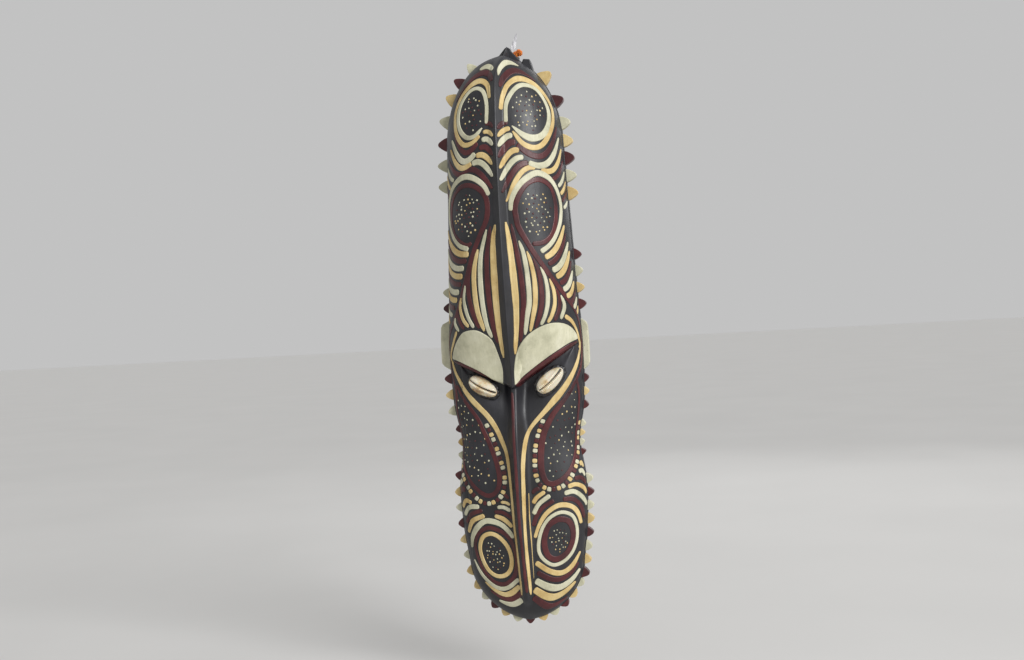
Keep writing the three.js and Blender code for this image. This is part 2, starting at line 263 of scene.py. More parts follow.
class Nodes:
    """Short calls for building one material's node tree."""

    def __init__(self, name):
        self.material = bpy.data.materials.new(name)
        self.material.use_nodes = True
        self.tree = self.material.node_tree
        self.shader = self.tree.nodes["Principled BSDF"]
        self.place = self.node("ShaderNodeTexCoord").outputs["Object"]

    def node(self, kind, **settings):
        made = self.tree.nodes.new(kind)
        for key, value in settings.items():
            setattr(made, key, value)
        return made

    def link(self, source, target):
        self.tree.links.new(source, target)

    def stretched(self, scale):
        mapping = self.node("ShaderNodeMapping")
        mapping.inputs["Scale"].default_value = scale
        self.link(self.place, mapping.inputs["Vector"])
        return mapping.outputs["Vector"]

    def noise(self, scale, detail=4.0, rough=0.55, stretch=(1, 1, 1), distort=0.0):
        made = self.node("ShaderNodeTexNoise")
        made.inputs["Scale"].default_value = scale
        made.inputs["Detail"].default_value = detail
        made.inputs["Roughness"].default_value = rough
        made.inputs["Distortion"].default_value = distort
        self.link(self.stretched(stretch), made.inputs["Vector"])
        return made.outputs["Fac"]

    def ramp(self, factor, stops):
        made = self.node("ShaderNodeValToRGB")
        for _ in range(len(stops) - 2):
            made.color_ramp.elements.new(0.5)
        for element, (at, colour) in zip(made.color_ramp.elements, stops):
            element.position = at
            element.color = (*colour, 1.0)
        self.link(factor, made.inputs["Fac"])
        return made.outputs["Color"]

    def grey(self, factor, low, high, start=0.3, end=0.7):
        made = self.node("ShaderNodeMapRange")
        made.inputs["From Min"].default_value = start
        made.inputs["From Max"].default_value = end
        made.inputs["To Min"].default_value = low
        made.inputs["To Max"].default_value = high
        self.link(factor, made.inputs["Value"])
        return made.outputs["Result"]

    def blend(self, factor, first, second, how="MIX"):
        made = self.node("ShaderNodeMix", data_type="RGBA", blend_type=how)
        self.link(factor, made.inputs["Factor"])
        for name, value in (("A", first), ("B", second)):
            socket = next(s for s in made.inputs if s.name == name and s.type == "RGBA")
            if isinstance(value, tuple):
                socket.default_value = (*value, 1.0)
            else:
                self.link(value, socket)
        return next(s for s in made.outputs if s.type == "RGBA")

    def bump(self, height, strength, distance):
        made = self.node("ShaderNodeBump")
        made.inputs["Strength"].default_value = strength
        made.inputs["Distance"].default_value = distance
        self.link(height, made.inputs["Height"])
        self.link(made.outputs["Normal"], self.shader.inputs["Normal"])

    def finish(self, colour, roughness, **constants):
        self.link(colour, self.shader.inputs["Base Color"])
        self.link(roughness, self.shader.inputs["Roughness"])
        for name, value in constants.items():
            self.shader.inputs[name.replace("_", " ")].default_value = value
        return self.material


def rgb(red, green, blue):
    """A colour from its 0 to 255 screen values."""
    return tuple(
        c / 12.92 if c <= 0.04045 else ((c + 0.055) / 1.055) ** 2.4
        for c in (red / 255, green / 255, blue / 255)
    )


def black_paint():
    """Thin black paint on carved wood: brushed, patchy, rubbed brown in places."""
    n = Nodes("black_painted_wood")
    patches = n.noise(22, 5, 0.6)
    strokes = n.noise(260, 3, 0.6, stretch=(1, 1, 0.12))
    paint = n.ramp(patches, [(0.3, rgb(24, 24, 27)), (0.55, rgb(36, 36, 41)),
                             (0.75, rgb(50, 50, 57))])
    brushed = n.blend(n.grey(strokes, 0.0, 0.45), paint, rgb(15, 15, 17))
    rubbed = n.grey(n.noise(55, 8, 0.7, distort=0.6), 0.0, 0.8, 0.68, 0.78)
    colour = n.blend(rubbed, brushed, rgb(74, 56, 42))
    n.bump(strokes, 0.35, 0.0005)
    return n.finish(colour, n.grey(n.noise(70, 5), 0.36, 0.56), Specular_IOR_Level=0.5,
                    Coat_Weight=0.12, Coat_Roughness=0.35)


def body_paint(name, light, base, dark, wear, worn, gloss):
    """Hand brushed colour over the black: streaked, uneven and chipped in specks."""
    n = Nodes(name)
    tone = n.noise(45, 5, 0.6)
    streaks = n.noise(420, 3, 0.65, stretch=(1, 1, 0.2))
    paint = n.ramp(tone, [(0.3, dark), (0.5, base), (0.72, light)])
    streaked = n.blend(n.grey(streaks, 0.0, 0.4), paint, dark)
    chips = n.grey(n.noise(520, 6, 0.7), 0.0, wear, 0.63, 0.7)
    colour = n.blend(chips, streaked, worn)
    n.bump(streaks, 0.4, 0.0004)
    return n.finish(colour, n.grey(n.noise(110, 4), gloss, gloss + 0.2),
                    Specular_IOR_Level=0.45)


def bare_wood():
    """Brown unpainted wood, darkened by handling, with grain running up the mask."""
    n = Nodes("bare_wood")
    grain = n.noise(330, 7, 0.65, stretch=(1, 1, 0.05), distort=0.3)
    bands = n.noise(28, 4, 0.55, stretch=(1, 1, 0.2))
    wood = n.ramp(grain, [(0.3, rgb(84, 60, 40)), (0.5, rgb(122, 92, 62)),
                          (0.7, rgb(150, 118, 82))])
    colour = n.blend(n.grey(bands, 0.0, 0.55), wood, rgb(78, 58, 42), "MULTIPLY")
    n.bump(grain, 0.5, 0.0006)
    return n.finish(colour, n.grey(bands, 0.62, 0.82))


def cowrie_shell():
    """Porcelain-like shell: cream white with brown-gold clouds."""
    n = Nodes("cowrie_shell")
    clouds = n.noise(75, 4, 0.55)
    colour = n.ramp(clouds, [(0.3, rgb(158, 116, 66)), (0.41, rgb(206, 184, 146)),
                             (0.52, rgb(220, 208, 186))])
    n.bump(n.noise(600, 3), 0.12, 0.0002)
    return n.finish(colour, n.grey(clouds, 0.16, 0.3), Coat_Weight=0.5,
                    Coat_Roughness=0.08, Subsurface_Weight=0.08)


def black_gum():
    """Lumpy black resin with brown dust in places."""
    n = Nodes("black_gum")
    lumps = n.noise(160, 6, 0.65)
    colour = n.ramp(lumps, [(0.3, rgb(18, 17, 18)), (0.6, rgb(34, 32, 33)),
                            (0.8, rgb(70, 58, 46))])
    n.bump(lumps, 0.8, 0.0012)
    return n.finish(colour, n.grey(lumps, 0.3, 0.6))


def fibre(name, light, base, dark, scale):
    """Thin strands: colour runs along each strand and changes from one to the next."""
    n = Nodes(name)
    strands = n.noise(scale, 4, 0.6, stretch=(1, 1, 0.15))
    colour = n.ramp(strands, [(0.3, dark), (0.5, base), (0.7, light)])
    n.bump(strands, 0.5, 0.0003)
    return n.finish(colour, n.grey(strands, 0.55, 0.8), Sheen_Weight=0.3)


BLACK = black_paint()
WHITE = body_paint("white_paint", rgb(214, 211, 188), rgb(200, 197, 170),
                   rgb(166, 164, 138), 0.75, rgb(92, 88, 78), 0.42)
CREAM = body_paint("cream_paint", rgb(222, 202, 152), rgb(208, 184, 128),
                   rgb(178, 148, 92), 0.75, rgb(84, 66, 46), 0.42)
MAROON = body_paint("maroon_paint", rgb(98, 44, 44), rgb(80, 32, 34),
                    rgb(54, 22, 25), 0.6, rgb(32, 24, 25), 0.3)
PAINTS = {"white": WHITE, "cream": CREAM, "maroon": MAROON}

# ---- Body: carved front, toothed rim, crown and hollow back -------------------

NOSE_COLUMNS = [0, 1, 2, 3.3, 4.7, 6.1, 7.5, 8.3, 9.2, 10]
SIDE_COLUMNS = 70
WARP_LOW_H = 150
WARP_HIGH_H = 372
EDGE_BELOW = 3
EDGE_ABOVE = 9
RIM_WALL = [(1.0, RIM_DEPTH), (0.4, RIM_DEPTH - 0.1), (0, RIM_DEPTH - 0.7),
            (0, RIM_DEPTH / 2), (0, 0.7), (0.6, 0)]


def front_columns(half, middle):
    """x of every column in a row: creases of the nose and keel, then round to the rim."""
    inner = np.array(NOSE_COLUMNS) * min(1, half / 18)
    inner = np.concatenate([-inner[:0:-1], inner])
    middle = middle * min(1, half / 45)
    turn = np.linspace(0, 1, SIDE_COLUMNS + 1)[1:]
    start = np.arcsin((inner[-1] + middle) / half)
    right = half * np.sin(mix(start, math.pi / 2, turn))
    start = np.arcsin((inner[-1] - middle) / half)
    left = -half * np.sin(mix(start, math.pi / 2, turn))
    return np.concatenate([left[::-1], inner + middle, right])


def front_heights():
    """Heights of the rows on the mask's centre line, closest where the ends close in."""
    ease = np.linspace(0, 1, 14) ** 2
    chin = CHIN_H + 0.02 + 9 * ease
    low = np.linspace(14.02, NOSE_TOP_H, 188)[1:]
    ledge = NOSE_TOP_H + BROW_STEP * np.linspace(0, 1, 7)[1:]
    high = np.linspace(NOSE_TOP_H + BROW_STEP, 580, 262)[1:]
    crown = FACE_TOP_H - 0.02 - 10 * ease[::-1][1:]
    return np.concatenate([chin, low, ledge, high, crown])


def warped(h, x):
    """Bends the rows into the brow's V, so that the ledge has a clean edge."""
    below = smooth_step((h - WARP_LOW_H) / (NOSE_TOP_H - EDGE_BELOW - WARP_LOW_H))
    above = smooth_step((WARP_HIGH_H - h) / (WARP_HIGH_H - NOSE_TOP_H - EDGE_ABOVE))
    return h + np.minimum(below, above) * brow_rise(x)


def rim_wall(h, side, steps):
    """Columns down the rim's side wall, from (inset, depth) steps."""
    x = [side * np.maximum(rim_half_width(h) - inset, 0) for inset, _ in steps]
    depth = [np.full_like(h, d) for _, d in steps]
    return np.hstack(x), np.hstack(depth), np.repeat(h, len(steps), 1)


def make_front():
    """The carved front, rim to rim, with the side walls down to the flat back."""
    rows = []
    for h in front_heights():
        x = front_columns(float(dome_half(h)), float(keel_centre(h)))
        rows.append((x, warped(h, x)))
    x = np.array([row[0] for row in rows])
    h = np.array([row[1] for row in rows])
    share = x / np.abs(x).max(1, keepdims=True)
    x = share * dome_half(h)
    middle = slice(SIDE_COLUMNS, -SIDE_COLUMNS)
    x[:, middle] = np.array([row[0][middle] for row in rows])
    x = np.clip(x, -dome_half(h), dome_half(h))
    dome = (x, front_depth(x, h), h)
    left = rim_wall(h[:, [0]], -1, RIM_WALL[::-1])
    right = rim_wall(h[:, [-1]], 1, RIM_WALL)
    x, depth, h = (np.hstack(parts) for parts in zip(left, dome, right))
    points = in_frame(x, depth, h)
    piece = make_piece("mask_front", points, sheet_faces(*x.shape), BLACK)
    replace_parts(piece, "mask_body")


BACK_INSET = 12.0
WALL_THICK = 13.0
HOLLOW_LOW_H = 26.0
HOLLOW_HIGH_H = 556.0
HOLLOW_ROUND_H = 535.0
ROOF_COLUMNS = 61
PAD_COLUMNS = 14
HOLE_X = 14.0
HOLE_R = 2.0
HOLE_DEEP = 9.0
ADZE_WIDE = 13.0
ADZE_LONG = 21.0
ADZE_DEEP = 2.2


def hollow_half(h):
    """Half the width of the hollow at the back, 0 past its ends."""
    ends = round_end(h, CHIN_ROUND_H, HOLLOW_LOW_H - 1, 1.8)
    ends = ends * round_end(h, HOLLOW_ROUND_H, HOLLOW_HIGH_H, 2)
    inside = (h > HOLLOW_LOW_H - 1) & (h < HOLLOW_HIGH_H)
    return np.where(inside, (rim_half_width(h) - BACK_INSET) * ends, 0)


def hollow_depth(x, h):
    """Depth of the hollow's roof, with the scoops that an adze leaves."""
    half = np.maximum(hollow_half(h), 0.01)
    bulge = np.where(h > brow_edge(x), forehead_bulge(h), cheek_bulge(h))
    roof = RIM_DEPTH + bulge * dome_across(np.minimum(np.abs(x) / (half + BACK_INSET), 1))
    roof = roof - WALL_THICK - socket_recess(x, np.minimum(h, brow_edge(x)))
    inside = dome_across(np.minimum(np.abs(x) / half, 1)) ** 0.6
    row = np.floor(h / ADZE_LONG + 0.3 * np.sin(x / 9))
    across = (x / ADZE_WIDE + 0.37 * row) % 1 - 0.5
    along = (h / ADZE_LONG + 0.3 * np.sin(x / 9)) % 1 - 0.5
    scoop = ADZE_DEEP * (across**2 + along**2)
    return (np.maximum(roof, 3) - scoop) * inside


def make_back():
    """The flat back, the hollow behind the face and the two small holes near the top."""
    near_hole = np.arange(-3.2, 3.3, 0.4)
    plain = np.linspace(12, 583, 400)
    ease = np.linspace(0, 1, 8) ** 2
    heights = np.concatenate([CHIN_H + 0.1 + 6 * ease, plain, HANG_H + near_hole,
                              FACE_TOP_H - 0.1 - 6 * ease])
    heights = np.unique(np.round(heights, 3))
    roof_share = np.sin(np.linspace(-1, 1, ROOF_COLUMNS) * math.pi / 2)
    flat_columns = ROOF_COLUMNS + 2 * (PAD_COLUMNS - 1) - 2 * near_hole.size
    rows = []
    for h in heights:
        edge = float(rim_half_width(h)) - 0.6
        half = min(float(hollow_half(h)), edge - 0.5)
        if half > 1:
            pad = np.linspace(half, edge, PAD_COLUMNS)
            x = np.concatenate([-pad[:0:-1], half * roof_share, pad[1:]])
        else:
            holes = np.concatenate([-HOLE_X + near_hole, HOLE_X + near_hole])
            x = np.linspace(-1, 1, flat_columns) * edge
            x = np.sort(np.concatenate([x, np.clip(holes, -edge, edge)]))
        depth = np.where(np.abs(x) < half, hollow_depth(x, np.full_like(x, h)), 0)
        rows.append((x, depth, np.full_like(x, h)))
    x, depth, h = (np.array([row[i] for row in rows]) for i in range(3))
    off = np.hypot(np.abs(x) - HOLE_X, h - HANG_H)
    pit = HOLE_DEEP * smooth_step((HOLE_R + 0.4 - off) / 0.6)
    points = in_frame(x, depth + pit, h - 1.3 * pit)
    faces = sheet_faces(*x.shape)[:, ::-1]
    make_piece("mask_hollow_back", points, faces, bare_wood())


CROWN_DEPTH = 14.0
CROWN_BACK = 0.4
CROWN_CHAMFER = 1.2
CROWN_OUTLINE = [
    (-24, 578), (-2, 590), (6, 599), (8, 600), (11, 598.5), (13, 595), (19, 588),
    (23, 583), (24.5, 586.5), (31.5, 585.5), (35, 573), (38, 556), (-30, 556),
]
# (height, depth of the crest, half width)
KEEL_HEAD = [(556, 34.5, 7.5), (568, 33, 7.7), (580, 31, 8), (592, 24, 6), (600, 15, 2.5)]
KEEL_HEAD_ROWS = 40
KEEL_HEAD_COLUMNS = 21
KEEL_HEAD_FOOT = 3.0


def chamfered_slab(outline, back, front, chamfer):
    """An outline of (x, h) points made into a slab whose front edges are softened."""
    bm = bmesh.new()
    ring = [bm.verts.new((x, -back, h - HANG_H)) for x, h in outline]
    bottom = bm.faces.new(ring)
    made = bmesh.ops.extrude_face_region(bm, geom=[bottom])
    top = [v for v in made["geom"] if isinstance(v, bmesh.types.BMVert)]
    for v in top:
        v.co.y = -front
    edges = [e for e in bm.edges if e.verts[0] in top or e.verts[1] in top]
    bmesh.ops.bevel(bm, geom=edges, offset=chamfer, segments=2, profile=0.6,
                    affect="EDGES", clamp_overlap=True)
    bmesh.ops.recalc_face_normals(bm, faces=bm.faces)
    points = np.array([v.co[:] for v in bm.verts]) * MM
    bm.verts.index_update()
    faces = [[v.index for v in f.verts] for f in bm.faces]
    bm.free()
    return points, faces


def make_crown():
    """The small crown at the top, and the keel's head that rises in front of it."""
    whole = Pieces()
    whole.add(*chamfered_slab(CROWN_OUTLINE, CROWN_BACK, CROWN_DEPTH, CROWN_CHAMFER))
    rows = np.array(KEEL_HEAD, float)
    h = np.linspace(rows[0, 0], rows[-1, 0], KEEL_HEAD_ROWS)
    crest = smooth_through(rows[:, :2])(h)[:, None]
    half = smooth_through(rows[:, [0, 2]])(h)[:, None]
    across = np.linspace(-1, 1, KEEL_HEAD_COLUMNS)[None, :]
    x = keel_centre(h)[:, None] + half * across
    depth = mix(crest, KEEL_HEAD_FOOT, np.sqrt(across**2 + 0.006) - 0.07)
    points = in_frame(x, depth, np.broadcast_to(h[:, None], x.shape))
    faces = sheet_faces(*x.shape).tolist()
    faces.append(list(range(len(points) - KEEL_HEAD_COLUMNS, len(points))))
    whole.add(points, faces)
    whole.make("crown_and_keel_head", BLACK, "black_wood", smooth=False)


# (side, height of the first, pitch in height, width, length, paints from the lowest up)
TOOTH_ROWS = [
    (1, 52, 13.9, 11, 7, "maroon cream white maroon cream white maroon white"),
    (1, 177, 10, 8, 5, "maroon white cream white"),
    (1, 226, 13.7, 10, 5, "maroon cream maroon"),
    (1, 330, 17.3, 12, 8, "maroon cream white maroon"),
    (1, 445, 18.3, 14.5, 10.5, "cream white maroon cream white"),
    (1, 541, 0, 15.5, 11, "maroon"),
    (1, 565, 0, 15, 12.5, "cream"),
    (-1, 57, 16.6, 11, 6.5, "cream white cream maroon white cream maroon"),
    (-1, 178, 14, 9, 5, "white cream maroon"),
    (-1, 225.5, 16.7, 12, 8, "white cream maroon"),
    (-1, 333, 15.8, 12, 7, "maroon white"),
    (-1, 460, 22.4, 15, 11, "white white maroon white cream"),
    (-1, 566, 0, 13, 12, "maroon"),
    (-1, 579.5, 0, 13, 11, "white"),
]
CHIN_PITCH = 13.5
CHIN_RIGHT = "maroon cream white maroon cream white"
CHIN_LEFT = "white cream maroon white cream"
CHIN_WIDE, CHIN_LONG = 11, 5.4
# (side, low end, high end, width) of the plain white strips beside the brows
EARS = [(1, 262, 315, 6), (-1, 268, 320, 9)]
TOOTH_ROOT = 2.5
# (share of the length, share of the half width)
TOOTH_CURVE = [(0.0, 0.98), (0.3, 0.84), (0.6, 0.6), (0.82, 0.38), (0.95, 0.17)]
TOOTH_FRONT = 8.7
TOOTH_BACK = 0.7
TOOTH_CHAMFER = 0.9
EAR_CHAMFER = 0.8

rim_h = mix(CHIN_H, FACE_TOP_H, 0.5 - 0.5 * np.cos(np.linspace(0, math.pi, 4001)))
rim_x = rim_half_width(rim_h)
rim_walk = np.concatenate([[0], np.cumsum(np.hypot(np.diff(rim_x), np.diff(rim_h)))])


def rim_place(side, walked):
    """The rim's edge that far from the chin's middle, and the way that is outwards."""
    at = [np.interp(walked + d, rim_walk, rim_x) for d in (0, -1, 1)]
    up = [np.interp(walked + d, rim_walk, rim_h) for d in (0, -1, 1)]
    along = np.array([side * (at[2] - at[1]), up[2] - up[1]])
    along /= np.linalg.norm(along)
    return np.array([side * at[0], up[0]]), along, np.array([along[1], -along[0]]) * side


def add_tooth(paints, side, walked, wide, long, paint):
    """A hand-cut saw tooth: no two have quite the same tip."""
    foot, along, out = rim_place(side, walked)
    half = wide / 2 * rng.uniform(0.92, 1.04)
    tip = foot + out * long * rng.uniform(0.9, 1.0) + along * rng.uniform(-0.7, 0.7)
    root = -TOOTH_ROOT * out
    rise = tip - foot
    outline = [foot - along * half + root]
    for out_share, half_share in TOOTH_CURVE:
        outline.append(foot + rise * out_share - along * half * half_share)
    outline.append(tip - rise * 0.02)
    for out_share, half_share in TOOTH_CURVE[::-1]:
        outline.append(foot + rise * out_share + along * half * half_share)
    outline.append(foot + along * half + root)
    front = TOOTH_FRONT - rng.uniform(0, 0.8)
    paints[paint].add(*chamfered_slab(outline, TOOTH_BACK, front, TOOTH_CHAMFER))


def make_teeth():
    """The teeth all round the rim and the ears, joined into one piece for each paint."""
    paints = {name: Pieces() for name in PAINTS}
    for side, first, pitch, wide, long, colours in TOOTH_ROWS:
        for i, paint in enumerate(colours.split()):
            walked = np.interp(first + i * pitch, rim_h, rim_walk)
            add_tooth(paints, side, walked, wide, long, paint)
    for side, colours, start in ((1, CHIN_RIGHT, 0), (-1, CHIN_LEFT, 1)):
        for i, paint in enumerate(colours.split(), start):
            add_tooth(paints, side, i * CHIN_PITCH, CHIN_WIDE, CHIN_LONG, paint)
    for side, low, high, wide in EARS:
        h = np.linspace(low, high, 15)
        t = (h - low) / (high - low)
        swell = np.minimum(1, np.minimum(t / 0.14, (1 - t) / 0.1)) ** 0.6
        edge = list(zip(side * (rim_half_width(h) + wide * swell), h))
        inner = [(side * (rim_half_width(v) - TOOTH_ROOT), v) for v in (high, low)]
        slab = chamfered_slab(edge + inner, TOOTH_BACK, TOOTH_FRONT - 0.3, EAR_CHAMFER)
        paints["white"].add(*slab)
    for name, made in paints.items():
        made.make(f"rim_teeth_{name}", PAINTS[name], f"paint_{name}", smooth=False)


# ---- Painted pattern --------------------------------------------------------
# Places on the carved front are (u, h): h is the height, and u runs round the dome from
# the middle, in millimetres, so that shapes keep their width on the steep sides.

PROUD = {"maroon": 0.42, "cream": 0.5, "white": 0.58}
SHOULDER = 0.45
SUNK = 0.7
STEP = 1.3
COLUMN_STEP = 0.9
WOBBLE = 0.28
CHART_EDGE = 1.57
SLOPE_REACH = 0.35

paint_layers = {name: Pieces() for name in PAINTS}


def on_chart(u, h, lift=0.0):
    """Frame points at chart places, lifted off the carved surface."""
    def place(a, b):
        x = dome_half(b) * np.sin(np.clip(a / CHART, -CHART_EDGE, CHART_EDGE))
        return np.stack([x, -front_depth(x, b), b - HANG_H], -1)

    e = SLOPE_REACH
    along = place(u, h + e) - place(u, h - e)
    across = place(u + e, h) - place(u - e, h)
    out = np.cross(across, along)
    out /= np.maximum(np.linalg.norm(out, axis=-1, keepdims=True), 1e-9)
    return (place(u, h) + out * np.asarray(lift)[..., None]) * MM


def stretch_at(u, h):
    """Millimetres on the surface for one millimetre of u."""
    bulge = np.where(h > NOSE_TOP_H, forehead_bulge(h), cheek_bulge(h))
    turn = np.clip(u / CHART, -CHART_EDGE, CHART_EDGE)
    return np.maximum(np.hypot(dome_half(h) * np.cos(turn), bulge * np.sin(turn)) / CHART, 0.3)


def spline(points, closed=False):
    """A smooth line through chart points, with a place about every STEP millimetres."""
    p = np.array(points, float)
    if closed:
        p = np.vstack([p[-1], p, p[0], p[1]])
    else:
        p = np.vstack([2 * p[0] - p[1], p, 2 * p[-1] - p[-2]])
    t = np.linspace(0, 1, 16, endpoint=False)[:, None]
    line = []
    for a, b, c, d in zip(p[:-3], p[1:-2], p[2:-1], p[3:]):
        bend = (2 * a - 5 * b + 4 * c - d) * t**2 + (3 * b - a - 3 * c + d) * t**3
        line.append(0.5 * (2 * b + (c - a) * t + bend))
    line = np.vstack([*line, p[-2:-1]])
    walked = np.concatenate([[0], np.cumsum(np.hypot(*np.diff(line, axis=0).T))])
    even = np.linspace(0, walked[-1], max(int(walked[-1] / STEP), 6) + 1)
    return np.stack([np.interp(even, walked, line[:, i]) for i in range(2)], 1)


def band(paint, edge_a, edge_b, closed=False):
    """A layer of paint between two lines, as a thin closed form with soft shoulders."""
    wide = np.hypot(*(edge_b - edge_a).T).max()
    inner = np.linspace(0, 1, max(int(wide / COLUMN_STEP), 3) + 1)
    shoulder = min(SHOULDER / max(wide, 1), 0.25)
    v = np.concatenate([[0, shoulder / 2], mix(shoulder, 1 - shoulder, inner),
                        [1 - shoulder / 2, 1]])
    lift = np.full(v.size, PROUD[paint])
    lift[[0, -1]] = -SUNK
    lift[[1, -2]] = PROUD[paint] * 0.5
    u = edge_a[:, [0]] * (1 - v) + edge_b[:, [0]] * v
    h = edge_a[:, [1]] * (1 - v) + edge_b[:, [1]] * v
    points = on_chart(u, h, np.broadcast_to(lift, u.shape)).reshape(-1, 3)
    rows, cols = u.shape
    if closed:
        points = np.concatenate([points, points[:cols]])
        rows += 1
    faces = sheet_faces(rows, cols, closed=True).tolist()
    if not closed:
        faces.append(list(range(cols))[::-1])
        faces.append([(rows - 1) * cols + i for i in range(cols)])
    paint_layers[paint].add(points, faces)


def wander(count):
    """The small slow drift of a painted edge."""
    t = np.linspace(0, count * STEP / 9, count)
    phase = rng.uniform(0, 6.3, 3)
    return (np.sin(t + phase[0]) + np.sin(2.3 * t + phase[1]) + np.sin(0.6 * t + phase[2])) / 2


def stroke(paint, points, width, start=None, end=None, closed=False):
    """A brush stroke along a line. start and end say how long each end takes to close."""
    line = spline(points, closed)
    if closed:
        line = line[:-1]
    u, h = line.T
    if closed:
        du, dh = (np.roll(line, -1, 0) - np.roll(line, 1, 0)).T
    else:
        du, dh = np.gradient(line, axis=0).T
    metric = stretch_at(u, h)
    length = np.hypot(metric * du, dh)
    side = np.stack([-dh / length / metric, metric * du / length], 1)
    width = np.atleast_1d(width).astype(float)
    if closed:
        width = np.append(width, width[0])
    wide = np.interp(np.linspace(0, 1, u.size), np.linspace(0, 1, width.size), width)
    wide = wide + (0 if closed else WOBBLE * wander(u.size))
    if not closed:
        walked = np.concatenate([[0], np.cumsum(length[1:])])
        for reach, gone in ((start, walked), (end, walked[-1] - walked)):
            reach = reach or wide.mean() * 0.2
            near = np.clip(1 - gone / reach, 0, 1)
            wide = wide * np.sqrt(np.maximum(1 - near**2, 0.25))
    shift = side * (wide / 2)[:, None]
    band(paint, line - shift, line + shift, closed)


CRESCENT = (0.4, 0.75, 0.95, 1.0, 1.0, 0.9)


def swags(paints, outer, inner, sag, width):
    """Nested arcs, one from each outer place to its inner place; each hangs by its sag."""
    rows = zip(paints.split(), outer, inner, sag, width)
    for paint, a, b, drop, thick in rows:
        a, b = np.array(a, float), np.array(b, float)
        middle = mix(a, b, 0.5) - (0, drop)
        quarters = [mix(end, middle, 0.5) - (0, drop * 0.22) for end in (a, b)]
        profile = [thick * share for share in CRESCENT]
        stroke(paint, [a, quarters[0], middle, quarters[1], b], profile)


def inside(points, loop):
    """Which points lie inside a closed loop."""
    a, b = loop, np.roll(loop, -1, 0)
    crossed = np.zeros(len(points), int)
    for (x0, y0), (x1, y1) in zip(a, b):
        spans = (y0 > points[:, 1]) != (y1 > points[:, 1])
        at = x0 + (points[:, 1] - y0) * (x1 - x0) / (y1 - y0 if y1 != y0 else 1)
        crossed += spans & (points[:, 0] < at)
    return crossed % 2 == 1


DOT_REACH = 0.87
DOT_ROWS = 0.87
DAB_SIDES = 10
DAB_RINGS = [(1.0, -SUNK), (1.0, 0.2), (0.7, 0.42)]


def dots(loop, pitch, size):
    """Jittered rows of dabs inside a loop: white and cream, with a few dull red ones."""
    edge = spline(loop, closed=True)
    centre = edge.mean(0)
    safe = centre + (edge - centre) * DOT_REACH
    low, high = safe.min(0), safe.max(0)
    rows = np.arange(low[1], high[1], pitch * DOT_ROWS)
    for i, h in enumerate(rows):
        u = np.arange(low[0] + (i % 2) * pitch / 2, high[0], pitch)
        places = np.stack([u, np.full_like(u, h)], 1)
        places = places + rng.uniform(-0.27, 0.27, places.shape) * pitch
        for place in places[inside(places, safe)]:
            paint = rng.choice(["white", "white", "cream", "maroon"])
            dab(paint, place, size * rng.uniform(0.75, 1.15) / 2)


def dab(paint, place, radius):
    """One round touch of the brush: a low dome with its foot under the surface."""
    turn = np.linspace(0, 2 * math.pi, DAB_SIDES, endpoint=False)
    uneven = 1 + rng.uniform(-0.14, 0.14, turn.size)
    u = [place[0] + radius * r * uneven * np.cos(turn) for r, _ in DAB_RINGS]
    h = [place[1] + radius * r * uneven * np.sin(turn) for r, _ in DAB_RINGS]
    lift = np.repeat([[lift] for _, lift in DAB_RINGS], turn.size, 1)
    points = on_chart(np.array(u), np.array(h), lift).reshape(-1, 3)
    faces = sheet_faces(3, turn.size, closed=True).tolist()
    faces.append(list(range(turn.size))[::-1])
    faces.append([2 * turn.size + i for i in range(turn.size)])
    paint_layers[paint].add(points, faces)


def blocks(points, long, wide, gap, cycle):
    """A string of small painted blocks that follow a line."""
    line = spline(points)
    du, dh = np.gradient(line, axis=0).T
    length = np.hypot(stretch_at(*line.T) * du, dh)
    walked = np.concatenate([[0], np.cumsum(length[1:])])
    names = cycle.split()
    count = int(walked[-1] // (long + gap))
    for i in range(count):
        ends = (i * (long + gap), i * (long + gap) + long * rng.uniform(0.9, 1.05))
        at = np.linspace(*ends, 4)
        piece = np.stack([np.interp(at, walked, line[:, k]) for k in range(2)], 1)
        stroke(names[i % len(names)], piece, wide * rng.uniform(0.92, 1.08), 0.3, 0.3)


def ellipse(centre, radii, tilt=0.0, egg=0.0):
    """Eight points round an ellipse; egg above zero makes its lower end broader."""
    points = []
    for k in range(8):
        a = math.pi * k / 4
        u = radii[0] * math.cos(a) * (1 - egg * math.sin(a))
        h = radii[1] * math.sin(a)
        c, s = math.cos(math.radians(tilt)), math.sin(math.radians(tilt))
        points.append((centre[0] + u * c - h * s, centre[1] + u * s + h * c))
    return points


